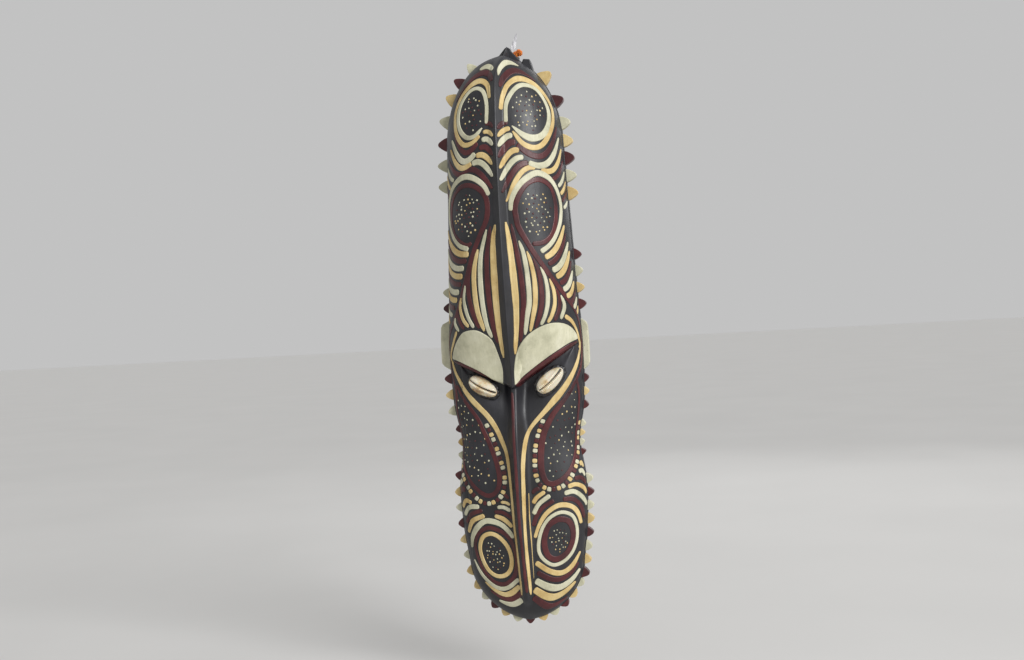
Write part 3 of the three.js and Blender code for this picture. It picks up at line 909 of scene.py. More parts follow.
def paint_upper_eyes():
    """The two dotted ovals at the top of the forehead, with their rings."""
    stroke("white", [(10, 514), (12, 534), (23, 548), (37, 553), (55, 548), (64, 531), (61, 515),
        (51, 501.5), (38, 497), (27, 500.5), (16, 510)], [4.2, 4.6, 4.8, 4.6, 5, 7, 7.6, 3], end=10)
    stroke("cream", [(5.5, 527), (8.5, 541), (15.5, 553), (30, 559.7), (47, 557.8), (63, 548.5),
        (73, 533), (70, 518), (60, 502.5), (48, 490.5), (37, 487.5), (26, 492), (16.5, 504.5)],
        [3.6, 5, 7, 6.4, 4.8, 5, 6, 6, 3.4], end=9)
    stroke("maroon", [(6, 551), (11, 560.3), (21, 567.4), (34, 569.4), (48, 565.5), (60, 558)],
        [4, 7, 7.6, 6.8, 4.4, 2.4], 6, 9)
    stroke("white", [(4.6, 563.5), (7.6, 571.5), (17, 578), (30, 579.6), (44, 575.5)],
        [2.6, 5, 6, 5.6, 2.6], 7, 7)
    dots([(14, 519), (14, 533), (24, 547), (43, 549), (59, 541), (60, 525), (50, 507), (37, 501),
        (21, 507)], 6.0, 1.9)
    stroke("white", [(-10, 514), (-10, 534), (-15, 547.5), (-25, 552.5), (-37, 549.5), (-45.5, 539),
        (-47.5, 526), (-43, 512), (-33, 502.5), (-23, 502.5), (-14.5, 510)],
        [3.4, 4, 4.4, 4.4, 4.8, 5.4, 5, 3], end=8)
    stroke("cream", [(-6.5, 540), (-10.5, 554), (-21, 560), (-35, 558), (-48, 548), (-54, 533),
        (-52, 518), (-46.5, 505), (-37, 495.5), (-26, 496), (-17.5, 502.5)],
        [3.6, 5.6, 6.4, 5, 4.4, 4.6, 5.6, 5.4, 3.6])
    stroke("maroon", [(-4, 558), (-10, 566), (-22, 569.5), (-37, 566), (-50, 557), (-60, 543)],
        [4.4, 7, 7.2, 6, 4.4, 2.6], 4, 9)
    stroke("white", [(-5, 571), (-12, 575), (-22, 576.5), (-33, 574)], [4.6, 5.8, 5.6, 4.4], 2.4,
        2.4)
    dots([(-13, 538), (-26, 548), (-38, 545), (-43, 533), (-42, 521), (-37, 511), (-30, 506),
        (-22, 506), (-16, 512), (-13, 524)], 5.8, 1.9)


def paint_upper_steps():
    """Arcs that step down from the upper ovals, on the outside and beside the keel."""
    swags("maroon white cream maroon white cream maroon white",
        [(75, 511), (77, 500), (82, 489), (84, 477), (86, 466), (88, 456), (89, 446), (88, 436)],
        [(20, 491), (31, 472), (44.5, 465), (59, 456.5), (67.5, 449.5), (71, 442), (73, 435),
        (75, 428)],
        (21.5, 13.5, 10, 4, 2, 1.5, 1, 1), (6.6, 6.8, 6, 5.2, 4.8, 4.6, 4.4, 4.2))
    swags("maroon white cream maroon white cream maroon",
        [(-53, 511), (-57, 503), (-61, 494), (-67, 484), (-72, 477), (-78, 469), (-83, 460)],
        [(-20, 495.5), (-23, 485), (-28, 475.5), (-37, 466), (-55, 461.5), (-63, 454), (-70, 446)],
        (15.5, 14.5, 11, 6, 3, 2, 1), (5.6, 6.4, 6, 5.4, 4.8, 4.6, 4.2))
    swags("maroon cream white maroon cream white maroon cream",
        [(2, 507), (2, 499), (2, 489), (2, 478), (2.5, 467), (2.5, 455), (3.5, 443), (6.5, 434)],
        [(12, 513), (14, 507), (16, 500), (19, 493), (22, 485), (26, 478), (31, 472), (38, 467.5)],
        (-3, -3, -4, -5.5, -6.5, -7, -8.5, -11), (5.6, 5.4, 6.2, 6.6, 6, 6.2, 6.2, 5.4))
    swags("maroon cream white maroon cream white maroon",
        [(-3, 509), (-3, 500), (-3.5, 491), (-4, 481), (-5, 472), (-5, 460), (-6, 448)],
        [(-11, 513), (-13.5, 505), (-15, 497), (-18, 489), (-22, 482), (-27, 475), (-38, 468.5)],
        (-3, -3, -4, -5, -5, -7, -9), (4.8, 4.8, 5.6, 6, 5.8, 6.2, 6.2))


def paint_lower_eyes():
    """The two dotted ovals above the brows, their rings and the long maroon lines."""
    stroke("white", [(10, 425), (12, 437), (19, 449), (28, 457), (40, 462), (54, 457), (64, 446),
        (69, 431), (66, 415), (57, 400), (48, 390), (37, 383)], [4.4, 6.4, 6.6, 5.4, 4.8, 5, 5.4])
    stroke("maroon", [(29, 391), (42, 393), (53, 402), (59, 417), (60, 433), (55, 448), (43, 455),
        (31, 453), (22, 445), (15, 430), (15, 419), (17, 408), (23, 395), (30, 382), (40, 366),
        (51, 351), (65, 335), (79, 322), (87, 309), (89, 295), (88, 283), (82, 268), (69, 253),
        (56, 239), (44, 228), (34, 215)], [4.6, 6, 5, 5.4, 6.6, 5.8, 5.4, 5, 4.4, 3.8, 3.4, 3.2])
    dots([(18, 428), (24, 441), (33, 447), (43, 447), (52, 440), (56, 428), (53, 412), (46, 400),
        (37, 396), (28, 399), (21, 408)], 5.2, 1.9)
    swags("cream maroon white cream maroon white cream maroon white cream",
        [(72, 410), (74, 402), (77, 393), (79, 384), (81, 374), (82, 364), (83, 353), (85, 344),
        (88, 337), (90, 328)],
        [(41, 377), (44, 370.5), (48, 364), (52, 357.5), (56, 351), (60, 344.5), (64, 338),
        (68.5, 331.5), (75, 326), (82, 320)],
        (6, 6, 6, 5, 5, 4, 4, 3, 2, 1), (6.4, 5.6, 6.6, 6.6, 5.6, 6.4, 6.2, 5.4, 5, 4.4))
    stroke("white", [(-10, 442), (-15, 452), (-25, 460), (-37, 463), (-50, 459), (-62, 450),
        (-69, 437), (-68, 421), (-60, 406), (-48, 395), (-35, 390)], [4.6, 6.4, 5.4, 4.6, 4.8, 5.4])
    stroke("maroon", [(-31, 396), (-37, 394), (-48, 399), (-58, 409), (-63, 424), (-60, 439),
        (-51, 449), (-40, 454), (-28, 453), (-18, 447), (-13, 439), (-12, 428), (-14, 417),
        (-19, 407), (-28, 389), (-34, 375), (-40, 360), (-46, 346), (-53, 332), (-63, 318),
        (-76, 306), (-85, 292), (-87, 277), (-81, 263), (-74, 250), (-70, 236)],
        [4.4, 5.6, 4.8, 5.4, 6, 5.4, 5, 4.6, 4, 3.6, 3.2])
    dots([(-16, 432), (-20, 441), (-29, 447), (-39, 447), (-50, 441), (-56, 430), (-57, 419),
        (-51, 409), (-41, 402), (-33, 400), (-25, 405), (-19, 417)], 5.2, 1.9)
    swags("cream maroon white cream maroon white cream maroon white cream",
        [(-80, 413), (-82, 404), (-84, 394), (-85, 384), (-86, 374), (-87, 364), (-88, 354),
        (-89, 345), (-89, 336), (-89, 327)],
        [(-35, 385), (-38, 378.5), (-42, 371.5), (-44.5, 363.5), (-47, 355.5), (-51, 348),
        (-55, 340), (-60, 332), (-66, 325), (-75, 317)],
        (8, 8, 7, 6, 5, 5, 4, 3, 2, 1), (6.6, 5.8, 6.4, 6.4, 5.6, 6.2, 6, 5.4, 5, 4.4))


def paint_forehead():
    """Tall stripes that fan out from under the lower ovals down to the brows."""
    stroke("cream", [(5, 414), (7, 396), (8.5, 368), (9, 335), (7.5, 308), (4.5, 282)],
        [3, 6, 7, 6.8, 5.4, 3], 10, 12)
    stroke("maroon", [(10, 412), (13, 389), (15.5, 362), (16, 335), (13.5, 318), (10, 294)],
        [3, 5.2, 5.6, 5.4, 4], 10, 8)
    stroke("white", [(16, 395), (19.5, 382), (21.5, 362), (21.5, 336), (18, 319), (14.5, 301)],
        [3.4, 5.4, 5.6, 5.4, 4], 8, 6)
    stroke("cream", [(23, 384), (26, 372), (28, 355), (27, 334), (23.5, 319), (19.5, 304)],
        [3.4, 5, 5.4, 5, 3.8], 7, 6)
    stroke("maroon", [(28.5, 377), (32.6, 364), (34, 350), (33.5, 334), (29.5, 319), (24.5, 307)],
        [3.4, 5.2, 5.4, 5.2, 3.8], 7, 5)
    stroke("white", [(35, 368), (38.8, 358), (40.3, 345), (39, 331), (35, 319), (30, 310)],
        [3, 4.4, 4.8, 4.6, 3.8], 7, 3)
    stroke("cream", [(43.5, 356), (47.3, 344), (47, 331), (42.3, 319.5), (37, 312)],
        [2.8, 4.4, 4.6, 4], 6, 3)
    stroke("maroon", [(50, 346), (53.5, 336), (51, 324), (44.5, 313.5)], [3.2, 5, 4.4], 5, 4)
    stroke("white", [(55.5, 339), (59, 328), (52, 315)], [3.2, 5, 4], 5, 4)
    stroke("cream", [(-5, 412), (-8, 397), (-9, 369), (-9, 336), (-8, 307), (-6, 279)],
        [3.7, 6.7, 7.4, 6.9, 5.5, 3.7], 10, 12)
    stroke("maroon", [(-10, 411), (-15, 382), (-16, 359), (-15.5, 337), (-13, 310), (-10, 294)],
        [3.2, 5.2, 5.7, 5.5, 4.2], 10, 8)
    stroke("white", [(-14, 408), (-21, 383), (-23, 360), (-22, 333), (-19, 312), (-15, 300)],
        [3.2, 5.2, 5.7, 5.5, 4.2], 10, 6)
    stroke("cream", [(-24, 389), (-29, 370), (-30, 351), (-28, 328), (-22, 307)],
        [3.7, 5.7, 6.2, 5.7, 4.2], 8, 6)
    stroke("maroon", [(-32, 375), (-37, 360), (-37, 343), (-33, 325), (-27, 310)],
        [3.7, 5.5, 5.7, 4.2], 7, 5)
    stroke("white", [(-41, 354), (-43.6, 339), (-39.6, 323), (-33, 311)], [3, 4.7, 4], 6, 3)
    stroke("cream", [(-47.5, 342), (-50, 332), (-46, 320), (-39, 312)], [3, 4.7, 4], 5, 3)
    stroke("maroon", [(-53, 332), (-55, 325), (-51, 317), (-45, 310)], [3.2, 5, 4], 4, 4)
    stroke("white", [(-59, 322), (-60, 316), (-53, 308)], [3.2, 4.7, 3.7], 4, 4)


def patch(paint, edge_a, edge_b):
    """A filled shape between two lines that start and end together."""
    lines = [spline(edge) for edge in (edge_a, edge_b)]
    t = np.linspace(0, 1, max(map(len, lines)))
    even = []
    for line in lines:
        at = np.linspace(0, 1, len(line))
        even.append(np.stack([np.interp(t, at, line[:, i]) for i in range(2)], 1))
    band(paint, *even)


def paint_brows():
    """White brows, each with a maroon edge along the ledge under it."""
    patch("white", [(2, 251), (2.5, 266), (5, 281), (9, 291), (17, 301), (28, 308), (40, 311.5),
        (53, 311), (64, 307), (73, 300), (76, 295)], [(3, 251.6), (8, 257.6), (14, 262.9),
        (25, 271.3), (36, 278.7), (48, 285.2), (60, 290.4), (75, 294.2)])
    patch("white", [(-9, 251.5), (-8, 268), (-11, 284), (-15, 297), (-22, 304), (-32, 308.5),
        (-46, 307), (-55, 300), (-64, 290), (-70, 281)], [(-10, 251), (-19, 258), (-31, 266),
        (-42, 271.5), (-56, 277), (-69, 280)])
    stroke("maroon", [(3, 249), (8, 254.2), (14, 259.1), (25, 267.4), (36, 274.8), (48, 281.5),
        (60, 287.2), (73, 291.2)], [4, 5.8, 6.2, 5.6, 3], 3, 12)
    stroke("maroon", [(-13, 252.8), (-20, 256.9), (-31, 263.4), (-42, 268.9), (-56, 274.1),
        (-67, 277.4)], [1.6, 3, 4.8, 4.8, 3.4], 6, 10)


def paint_nose_and_cheeks():
    """Lines that run from the brows' ends round the sockets and down the nose."""
    stroke("cream", [(58, 318), (68, 312), (77, 300), (79.5, 286), (71, 270), (59, 255), (47, 242),
        (37, 232), (28, 222), (18, 211), (12, 202), (8.5, 190), (5.8, 171), (4.8, 150), (4.3, 114),
        (4.6, 76), (6, 35)], [5.2, 3.2, 3.8, 6, 7, 4.8, 4, 3.4, 3, 2.7, 2.6, 2.6, 2.6], 2, 6)
    stroke("cream", [(-57, 308), (-66, 295), (-76, 282), (-71, 269), (-60, 255), (-48, 241),
        (-36, 229), (-28, 220), (-21, 208), (-16, 195), (-11, 180), (-8.5, 160), (-7, 138),
        (-6, 110), (-4.5, 83), (-4, 50), (-5, 35)],
        [3.6, 3, 4.2, 6.2, 5.8, 4.2, 3.2, 2.6, 2.4, 2.2, 2.2], 3, 6)
    stroke("maroon", [(-1.5, 243), (-1, 222), (-1, 190), (-0.5, 162), (0, 115), (1, 80), (2, 38)],
        [3, 3.4, 3.4, 3.2, 3], 3, 3)
    stroke("cream", [(8.6, 140), (8.4, 115), (9.2, 86), (9.8, 52)], [0.9, 1.2, 1], 4, 4)
    right_drop = [(68, 252), (60, 243), (49, 232), (39, 221), (33, 211), (28, 200), (25, 187),
        (23, 171), (23, 160), (26, 151), (32, 148), (40, 150), (49, 155), (59, 163), (69, 174),
        (76.5, 188), (77, 205), (75, 224), (73.5, 240)]
    left_drop = [(-68, 251), (-62, 244), (-55, 236), (-47, 227), (-40, 217), (-35, 204), (-30, 192),
        (-25, 180), (-21, 168), (-19, 157), (-20, 147), (-25, 140), (-32, 138), (-40, 141),
        (-49, 147), (-60, 156), (-73, 167), (-82, 180), (-82, 200), (-78, 222), (-74, 240)]
    stroke("maroon", right_drop, [3, 5.4, 7, 7, 6, 4.4, 3, 2.6], closed=True)
    stroke("maroon", left_drop, [3, 4.6, 5.4, 5.6, 5, 3.4, 2.8, 2.6], closed=True)
    dots(right_drop, 8.2, 1.9)
    dots(left_drop, 8.2, 1.9)
    blocks([(27, 214), (22, 200), (18.5, 186), (16.5, 170), (16.5, 158), (19, 149), (26, 143.5),
        (34, 142.5), (44, 145), (53, 151), (63, 160), (74, 171), (83, 184), (85, 198), (85, 212)],
        4.2, 5.0, 0.9, "white maroon cream")
    blocks([(-31, 212), (-26, 199), (-21, 184), (-17, 172), (-14, 160), (-14, 148), (-17, 139),
        (-23, 133), (-31, 130), (-39, 131), (-49, 137), (-60, 146), (-71, 155), (-82, 164),
        (-88, 176)], 4.2, 5.0, 0.9, "white maroon cream")


def paint_jaw():
    """Arcs, the two ringed discs and the swags under them, down to the chin."""
    stroke("maroon", [(12, 139), (14.5, 142.5), (19, 144.5)], 4.2)
    stroke("cream", [(12, 129), (16, 135), (24, 140.5)], 4.6)
    stroke("white", [(12, 118), (17.5, 128), (29, 136.5)], 4.8)
    stroke("maroon", [(11.5, 106), (15, 116), (21.5, 124.5), (33, 131)], 4.6)
    stroke("cream", [(12.5, 94), (16.8, 106), (24, 117.5), (35.5, 125), (47, 125.5), (58, 121.5),
        (66, 114), (71, 105)], [3.4, 4.4, 5.2, 5.4, 5.2, 4])
    stroke("white", [(41, 118.5), (55, 114), (62, 103), (63, 90), (58, 78), (47, 69), (33, 65),
        (22.5, 70), (16.5, 79), (16.5, 91), (20.5, 104), (28.5, 114)], 3.9, closed=True)
    stroke("maroon", [(40, 111.5), (50, 108.5), (56, 99), (56, 87.5), (49.5, 77), (37, 71), (27, 74),
        (22.5, 84), (22.5, 95), (26, 105), (33, 110)], 6.2, closed=True)
    dots(ellipse((39, 91), (13.5, 15.5), -20), 4.4, 1.5)
    stroke("cream", [(77, 165), (84, 166.5), (90, 162)], 4.4)
    stroke("white", [(71, 158), (80, 158.5), (89, 153)], 4.4)
    stroke("maroon", [(61, 151.5), (74, 151.5), (89, 145)], 4.6)
    stroke("cream", [(50, 144), (62, 145.5), (77, 141.5), (89, 135)], 4.8)
    stroke("white", [(45, 137.5), (58, 138.5), (74, 131.5), (88, 123)], 4.8)
    stroke("maroon", [(43, 131.5), (56, 131), (70, 123), (80, 110)], 4.8)
    swags("cream maroon white cream maroon",
        [(73, 76), (70, 65), (75, 58), (72, 45), (73, 29)],
        [(12.5, 68.5), (13.5, 58), (11.5, 49.5), (10, 40), (9, 31.5)],
        (16, 12, 13, 12, 10), (6, 5.8, 7.6, 8, 7))
    stroke("cream", [(-33, 99), (-24, 96), (-16, 87), (-12.5, 75), (-14, 63), (-21, 56), (-32, 55),
        (-42, 61), (-48.5, 72), (-49.5, 84), (-43, 95)], 4.6, closed=True)
    stroke("maroon", [(-57, 88), (-48, 99), (-35, 105), (-22, 102), (-13, 95), (-8.5, 84),
        (-6.5, 72), (-9, 59), (-15, 50.5), (-25, 46), (-37, 48), (-46, 56), (-54, 67), (-58, 79)],
        [4, 4.4, 4.4, 4.6, 5, 5, 4.6, 4], closed=True)
    dots(ellipse((-31, 76), (14, 17.5), 14), 4.6, 1.6)
    stroke("white", [(-66, 84), (-61, 93), (-52, 103), (-40, 111), (-31, 112), (-21, 109),
        (-14, 103), (-8, 95)], [4, 6, 6, 4.6])
    stroke("cream", [(-68, 99), (-57, 111), (-38, 117.5)], [4.4, 5.2, 4.8])
    stroke("maroon", [(-71, 109), (-57, 118.5), (-40, 122.8)], 4.6)
    stroke("white", [(-73, 117), (-60, 125.5), (-44, 126.6)], 4.8)
    stroke("cream", [(-78, 125), (-67, 132), (-55, 130.5)], 4.4)
    stroke("cream", [(-26, 117.5), (-17, 114), (-8.5, 106)], [4, 5, 4])
    stroke("maroon", [(-26, 121.4), (-17, 120.5), (-8.5, 115)], 4.2)
    stroke("white", [(-22.5, 126.2), (-16, 126), (-9.5, 122.5)], 4.2)
    stroke("cream", [(-18.5, 131.3), (-14, 131), (-9.5, 128.6)], 3.6)
    stroke("maroon", [(-14.5, 139.5), (-10.5, 135)], 4)
    stroke("maroon", [(-84, 139), (-76, 144), (-67, 143)], 5.4)
    stroke("white", [(-88, 148), (-82, 152), (-76, 150)], 4.9)
    swags("white cream maroon white",
        [(-66, 71), (-53, 48), (-51, 38.5), (-46, 28)],
        [(-6, 52), (-6, 44.5), (-5.5, 37), (-6, 29.5)],
        (19.5, 11.5, 8.5, 5), (4.8, 5.6, 5.8, 6.2))


def make_paint():
    """The whole painted pattern, as one piece for each paint."""
    paint_upper_eyes()
    paint_upper_steps()
    paint_lower_eyes()
    paint_forehead()
    paint_brows()
    paint_nose_and_cheeks()
    paint_jaw()
    for name, layer in paint_layers.items():
        layer.make(f"painted_{name}", PAINTS[name], f"paint_{name}")


# ---- Cowrie eyes in black gum ------------------------------------------------

# (name, x, height, tilt and turn to the viewer's right in degrees)
EYES = [("right_eye", 37.2, 253.5, 40, 16), ("left_eye", -32.5, 250, -29, -14)]
SHELL_HALF = (16.8, 8.7, 5.6)
SHELL_SUNK = 1.5
GUM_HALF = (19.6, 11.6, 5.0)
GUM_SUNK = 3.0
SLIT_DEEP = 3.6
SLIT_HALF = 0.8
SLIT_BEND = 1.5
LIP_PROUD, LIP_AWAY, LIP_HALF = 1.2, 2.6, 1.7
FOLD_PITCH, FOLD_DEEP = 1.75, 0.26
SHELL_RINGS, SHELL_SIDES = 150, 160
GUM_RINGS, GUM_SIDES = 70, 90


def eye_place(eye, local, rise):
    """Turns a lump's own (along, across, ahead) points to their place on the mask."""
    _, x, h, tilt, turn = eye
    c, s = math.cos(math.radians(tilt)), math.sin(math.radians(tilt))
    along, across, ahead = local[..., 0], local[..., 1], local[..., 2]
    right = along * c - across * s
    up = along * s + across * c
    back = -ahead
    c, s = math.cos(math.radians(turn)), math.sin(math.radians(turn))
    y = right * s + back * c - (float(front_depth(x, h)) + rise)
    return np.stack([x + right * c - back * s, y, h + up - HANG_H], -1).reshape(-1, 3) * MM


def lump(half, around, rings):
    """Points of a closed egg in rings from one end of its length to the other."""
    t = np.linspace(0.0005, math.pi - 0.0005, rings)[:, None]
    a = np.linspace(0, 2 * math.pi, around, endpoint=False)[None, :]
    along = -np.cos(t) * np.ones_like(a)
    swell = np.sin(t) ** 0.86 * (1 - 0.12 * along)
    return along * half[0], swell * np.cos(a) * half[1], swell * np.sin(a) * half[2]


def closed_lump_faces(rings, around):
    """Faces of a closed form of rings, with a cap at each end."""
    faces = sheet_faces(rings, around, closed=True).tolist()
    faces.append(list(range(around))[::-1])
    faces.append([(rings - 1) * around + i for i in range(around)])
    return faces


def make_shell(eye):
    """A cowrie, mouth outwards: two rolled lips with fine teeth either side of a slit."""
    along, across, ahead = lump(SHELL_HALF, SHELL_SIDES, SHELL_RINGS)
    q = along / SHELL_HALF[0]
    off = across - SLIT_BEND * (q**2 - 0.35) - 0.4 * q
    slit_half = SLIT_HALF * (1 + 0.35 * q)
    reach = smooth_step((1.02 - np.abs(q)) / 0.2)
    face = smooth_step((ahead - 0.5) / 2.0)
    slit = SLIT_DEEP * np.exp(-((off / slit_half) ** 4)) * reach
    lips = LIP_PROUD * np.exp(-(((np.abs(off) - LIP_AWAY) / LIP_HALF) ** 2)) * reach
    fold = np.cos(along * 2 * math.pi / FOLD_PITCH)
    near = smooth_step((3.4 - np.abs(off)) / 1.6) * smooth_step((np.abs(off) - 0.45) / 0.5)
    ahead = ahead + face * (lips - slit + FOLD_DEEP * fold * near * reach)
    ahead = np.where(ahead < 0, ahead * 0.8, ahead)
    local = np.stack([along, across, ahead], -1)
    points = eye_place(eye, local, SHELL_HALF[2] - SHELL_SUNK)
    faces = closed_lump_faces(SHELL_RINGS, SHELL_SIDES)
    name = f"{eye[0]}_cowrie"
    return make_piece(name, points, faces, SHELL, recalc=True)


def make_gum(eye):
    """The uneven bed of gum that the cowrie is pressed into."""
    along, across, ahead = lump(GUM_HALF, GUM_SIDES, GUM_RINGS)
    rough = np.sin(along * 1.1 + across * 0.7) + np.sin(across * 1.6 - along * 0.5 + eye[1])
    pinch = 1 + 0.025 * rough
    local = np.stack([along * pinch, across * pinch, ahead * 0.92], -1)
    points = eye_place(eye, local, GUM_HALF[2] - GUM_SUNK)
    faces = closed_lump_faces(GUM_RINGS, GUM_SIDES)
    return make_piece(f"{eye[0]}_gum_bed", points, faces, GUM, recalc=True)


SHELL = cowrie_shell()
GUM = black_gum()


def make_eyes():
    for eye in EYES:
        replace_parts(make_shell(eye), f"{eye[0]}_shell")
        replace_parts(make_gum(eye), f"{eye[0]}_gum")


# ---- Crest: bound peg, orange tuft and feather ---------------------------------


def tube(line, radius, around=8):
    """A closed tube along a line of millimetre points, with one radius per point."""
    line = np.asarray(line, float)
    radius = np.broadcast_to(radius, len(line))
    way = np.gradient(line, axis=0)
    way /= np.linalg.norm(way, axis=1, keepdims=True)
    spare = np.where(np.abs(way[:, [2]]) > 0.8, [[0.0, 1.0, 0.0]], [[0.0, 0.0, 1.0]])
    first = np.cross(way, spare)
    first /= np.linalg.norm(first, axis=1, keepdims=True)
    second = np.cross(way, first)
    a = np.linspace(0, 2 * math.pi, around, endpoint=False)
    ring = np.cos(a)[None, :, None] * first[:, None] + np.sin(a)[None, :, None] * second[:, None]
    points = line[:, None] + ring * radius[:, None, None]
    return points.reshape(-1, 3) * MM, closed_lump_faces(len(line), around)


TIE_X, TIE_DEPTH, TIE_LOW_H, TIE_HIGH_H, TIE_R = 18.0, 8.0, 574.5, 589.5, 2.1
TUFT_X, TUFT_H = 18.2, 593.4
FEATHER_X, FEATHER_LOW_H, FEATHER_LEAN, FEATHER_LONG = 12.2, 595.0, 16.0, 21.5
TWINE_TURNS, TWINE_R = 15, 0.52
# (x and height from the middle of the tuft, radius, number of strands)
TUFT_LOBES = [(-1.9, -0.8, 3.3, 320), (1.7, 0.7, 3.5, 380)]
BARBS = 62


def make_tie():
    """Dark twine wound round the peg that holds the tuft."""
    made = Pieces()
    height = np.linspace(TIE_LOW_H, TIE_HIGH_H, 12) - HANG_H
    core = np.stack([np.full(12, TIE_X), np.full(12, -TIE_DEPTH), height], 1)
    made.add(*tube(core, TIE_R - 0.5, 12))
    t = np.linspace(0, 1, TWINE_TURNS * 18)
    a = 2 * math.pi * TWINE_TURNS * t
    radius = TIE_R - 0.25 + 0.12 * np.sin(a * 0.37)
    height = mix(TIE_LOW_H + 0.5, TIE_HIGH_H - 0.4, t) - HANG_H
    wound = np.stack([TIE_X + radius * np.cos(a), radius * np.sin(a) - TIE_DEPTH, height], 1)
    made.add(*tube(wound, TWINE_R, 7))
    piece = made.make("tuft_tie_twine", TWINE, "twine")
    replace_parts(piece, "tuft_tie")


def make_tuft():
    """Two rounded lobes of orange fibre: many short strands that curl outwards."""
    made = Pieces()
    for lobe_x, lobe_h, size, count in TUFT_LOBES:
        centre = np.array([TUFT_X + lobe_x, -TIE_DEPTH, TUFT_H + lobe_h - HANG_H])
        for _ in range(count):
            way = rng.normal(size=3)
            way /= np.linalg.norm(way)
            bend = rng.normal(size=3) * 0.25
            t = np.linspace(0, 1, 6)[:, None]
            reach = size * rng.uniform(0.86, 1.0) * (1.0, 0.95, 1.12)[rng.integers(3)]
            line = centre + way * reach * t + bend * t**2
            made.add(*tube(line, np.linspace(0.42, 0.26, 6), 5))
    piece = made.make("orange_fibre_tuft", ORANGE, "orange_fibre")
    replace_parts(piece, "orange_tuft")


def make_feather():
    """A small pale feather: a quill, and barbs that sweep up from both sides of it."""
    made = Pieces()
    lean = math.radians(FEATHER_LEAN)
    ahead = np.array([math.sin(lean), 0, math.cos(lean)])
    aside = np.array([math.cos(lean), 0, -math.sin(lean)])
    foot = np.array([FEATHER_X, -TIE_DEPTH - 0.45, FEATHER_LOW_H - HANG_H])

    def quill(t):
        curve = 0.7 * np.sin(t * math.pi * 0.8)
        return foot + ahead * (FEATHER_LONG * t) + aside * curve

    t = np.linspace(-0.12, 0.97, 24)[:, None]
    made.add(*tube(quill(t), np.linspace(0.4, 0.12, 24), 7))
    for side in (-1, 1):
        for t in np.linspace(0.1, 0.96, BARBS):
            wide = 2.7 * (1 - t) ** 0.7 * min(1, 5 * t + 0.2) + 0.3
            wide *= rng.uniform(0.82, 1.05)
            s = np.linspace(0, 1, 6)[:, None]
            out = aside * side * wide * s
            sweep = ahead * (wide * 0.95 * s**1.3)
            lift = np.array([0, -0.25 * side, 0]) * s**2
            tip = min(1.0, (1.02 - t) / 0.2)
            line = quill(np.full((6, 1), t)) + (out + sweep + lift) * tip
            made.add(*tube(line, np.linspace(0.19, 0.1, 6), 4))
    piece = made.make("crest_feather_barbs", FEATHER, "feather")
    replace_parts(piece, "crest_feather")


TWINE = fibre("dark_twine", rgb(82, 66, 48), rgb(50, 40, 31), rgb(28, 22, 18), 900)
ORANGE = fibre("orange_fibre", rgb(240, 160, 44), rgb(222, 122, 24), rgb(160, 74, 14), 500)
FEATHER = fibre("pale_feather", rgb(244, 243, 242), rgb(226, 225, 228),
                rgb(120, 118, 126), 300)

# ---- Build it all ---------------------------------------------------------------

make_front()
make_back()
make_crown()
make_teeth()
make_paint()
make_eyes()
make_tie()
make_tuft()
make_feather()

# ---- Floor, lights and camera ------------------------------------------------------

FLOOR_H = -60.0
SHOT_DISTANCE = 1.27
SHOT_YAW = math.radians(8.5)
SHOT_ROLL = math.radians(3.1)
SHOT_TARGET = Vector((-0.0043, 0, (306.6 - HANG_H) * MM))
FLOOR_HALF = 30.0
SENSOR_WIDE = 36.0
LENS = 42.52
KEY_WAY = (-0.85, 0.75, -0.55)
KEY_POWER = 2.1
KEY_SPREAD = math.radians(30)
STUDIO_GREY = 0.54


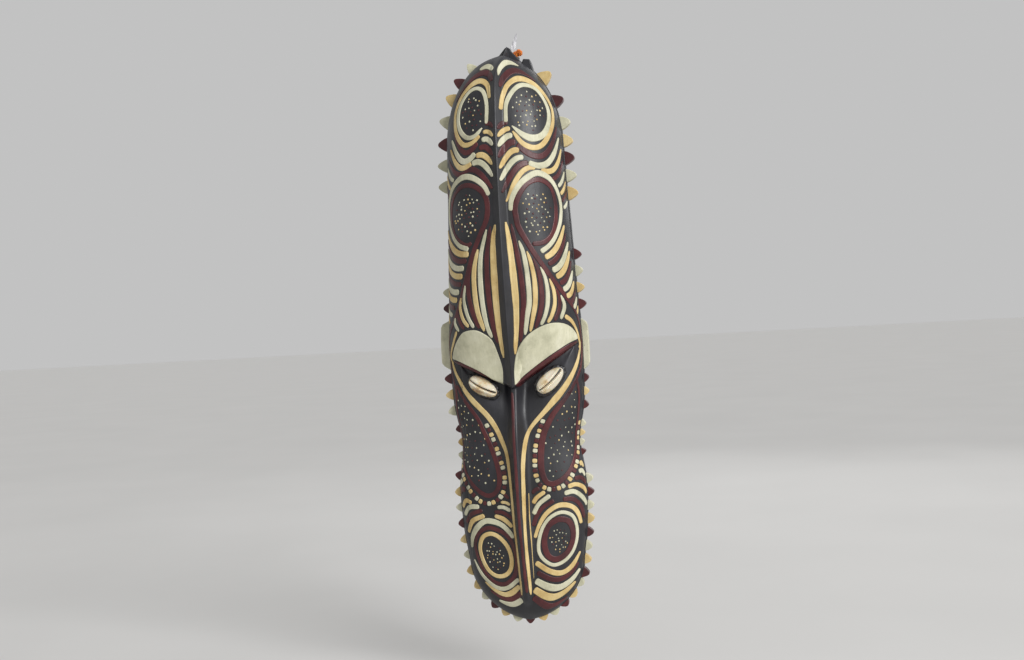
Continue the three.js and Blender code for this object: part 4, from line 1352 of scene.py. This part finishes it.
def make_floor():
    """A wide pale floor under the mask."""
    n = Nodes("studio_floor")
    clouds = n.noise(3, 3)
    colour = n.ramp(clouds, [(0.3, rgb(202, 201, 199)), (0.7, rgb(206, 205, 203))])
    material = n.finish(colour, n.grey(clouds, 0.7, 0.8))
    mesh = bpy.data.meshes.new("floor")
    z = (FLOOR_H - HANG_H) * MM
    corners = [(FLOOR_HALF * x, FLOOR_HALF * y, z) for x, y in ((-1, -1), (1, -1), (1, 1), (-1, 1))]
    mesh.from_pydata(corners, [], [(0, 1, 2, 3)])
    mesh.materials.append(material)
    floor = into_scene("floor", mesh)


def add_light(name, kind, power, way, place=(0, 0, 0)):
    """A light that shines along a direction."""
    data = bpy.data.lights.new(name, kind)
    data.energy = power
    light = into_scene(name, data)
    light.location = place
    light.rotation_mode = "QUATERNION"
    light.rotation_quaternion = Vector(way).to_track_quat("-Z", "Y")
    return data


def add_softbox(name, place, size, power):
    """A soft square light that faces the middle of the mask."""
    add_light(name, "AREA", power, SHOT_TARGET - Vector(place), place).size = size


def make_camera():
    """The camera, a little to the right of straight ahead and rolled a few degrees."""
    data = bpy.data.cameras.new("camera")
    data.sensor_width = SENSOR_WIDE
    data.lens = LENS
    camera = into_scene("camera", data)
    level = Vector((math.cos(SHOT_YAW), math.sin(SHOT_YAW), 0))
    back = Vector((math.sin(SHOT_YAW), -math.cos(SHOT_YAW), 0))
    right = level * math.cos(SHOT_ROLL) - Vector((0, 0, math.sin(SHOT_ROLL)))
    up = level * math.sin(SHOT_ROLL) + Vector((0, 0, math.cos(SHOT_ROLL)))
    turned = Matrix((right, up, back)).transposed().to_4x4()
    camera.matrix_world = Matrix.Translation(SHOT_TARGET + back * SHOT_DISTANCE) @ turned
    bpy.context.scene.camera = camera


make_floor()
make_camera()
add_light("key", "SUN", KEY_POWER, KEY_WAY).angle = KEY_SPREAD
add_softbox("softbox", (1.0, -1.0, 0.35), 0.9, 6)
add_softbox("back", (0.5, 1.6, 0.6), 1.4, 5)

world = bpy.data.worlds.new("studio")
world.use_nodes = True
background = world.node_tree.nodes["Background"]
background.inputs["Color"].default_value = (STUDIO_GREY, STUDIO_GREY, STUDIO_GREY, 1)
background.inputs["Strength"].default_value = 1.0
bpy.context.scene.world = world
bpy.context.scene.view_settings.view_transform = "Standard"
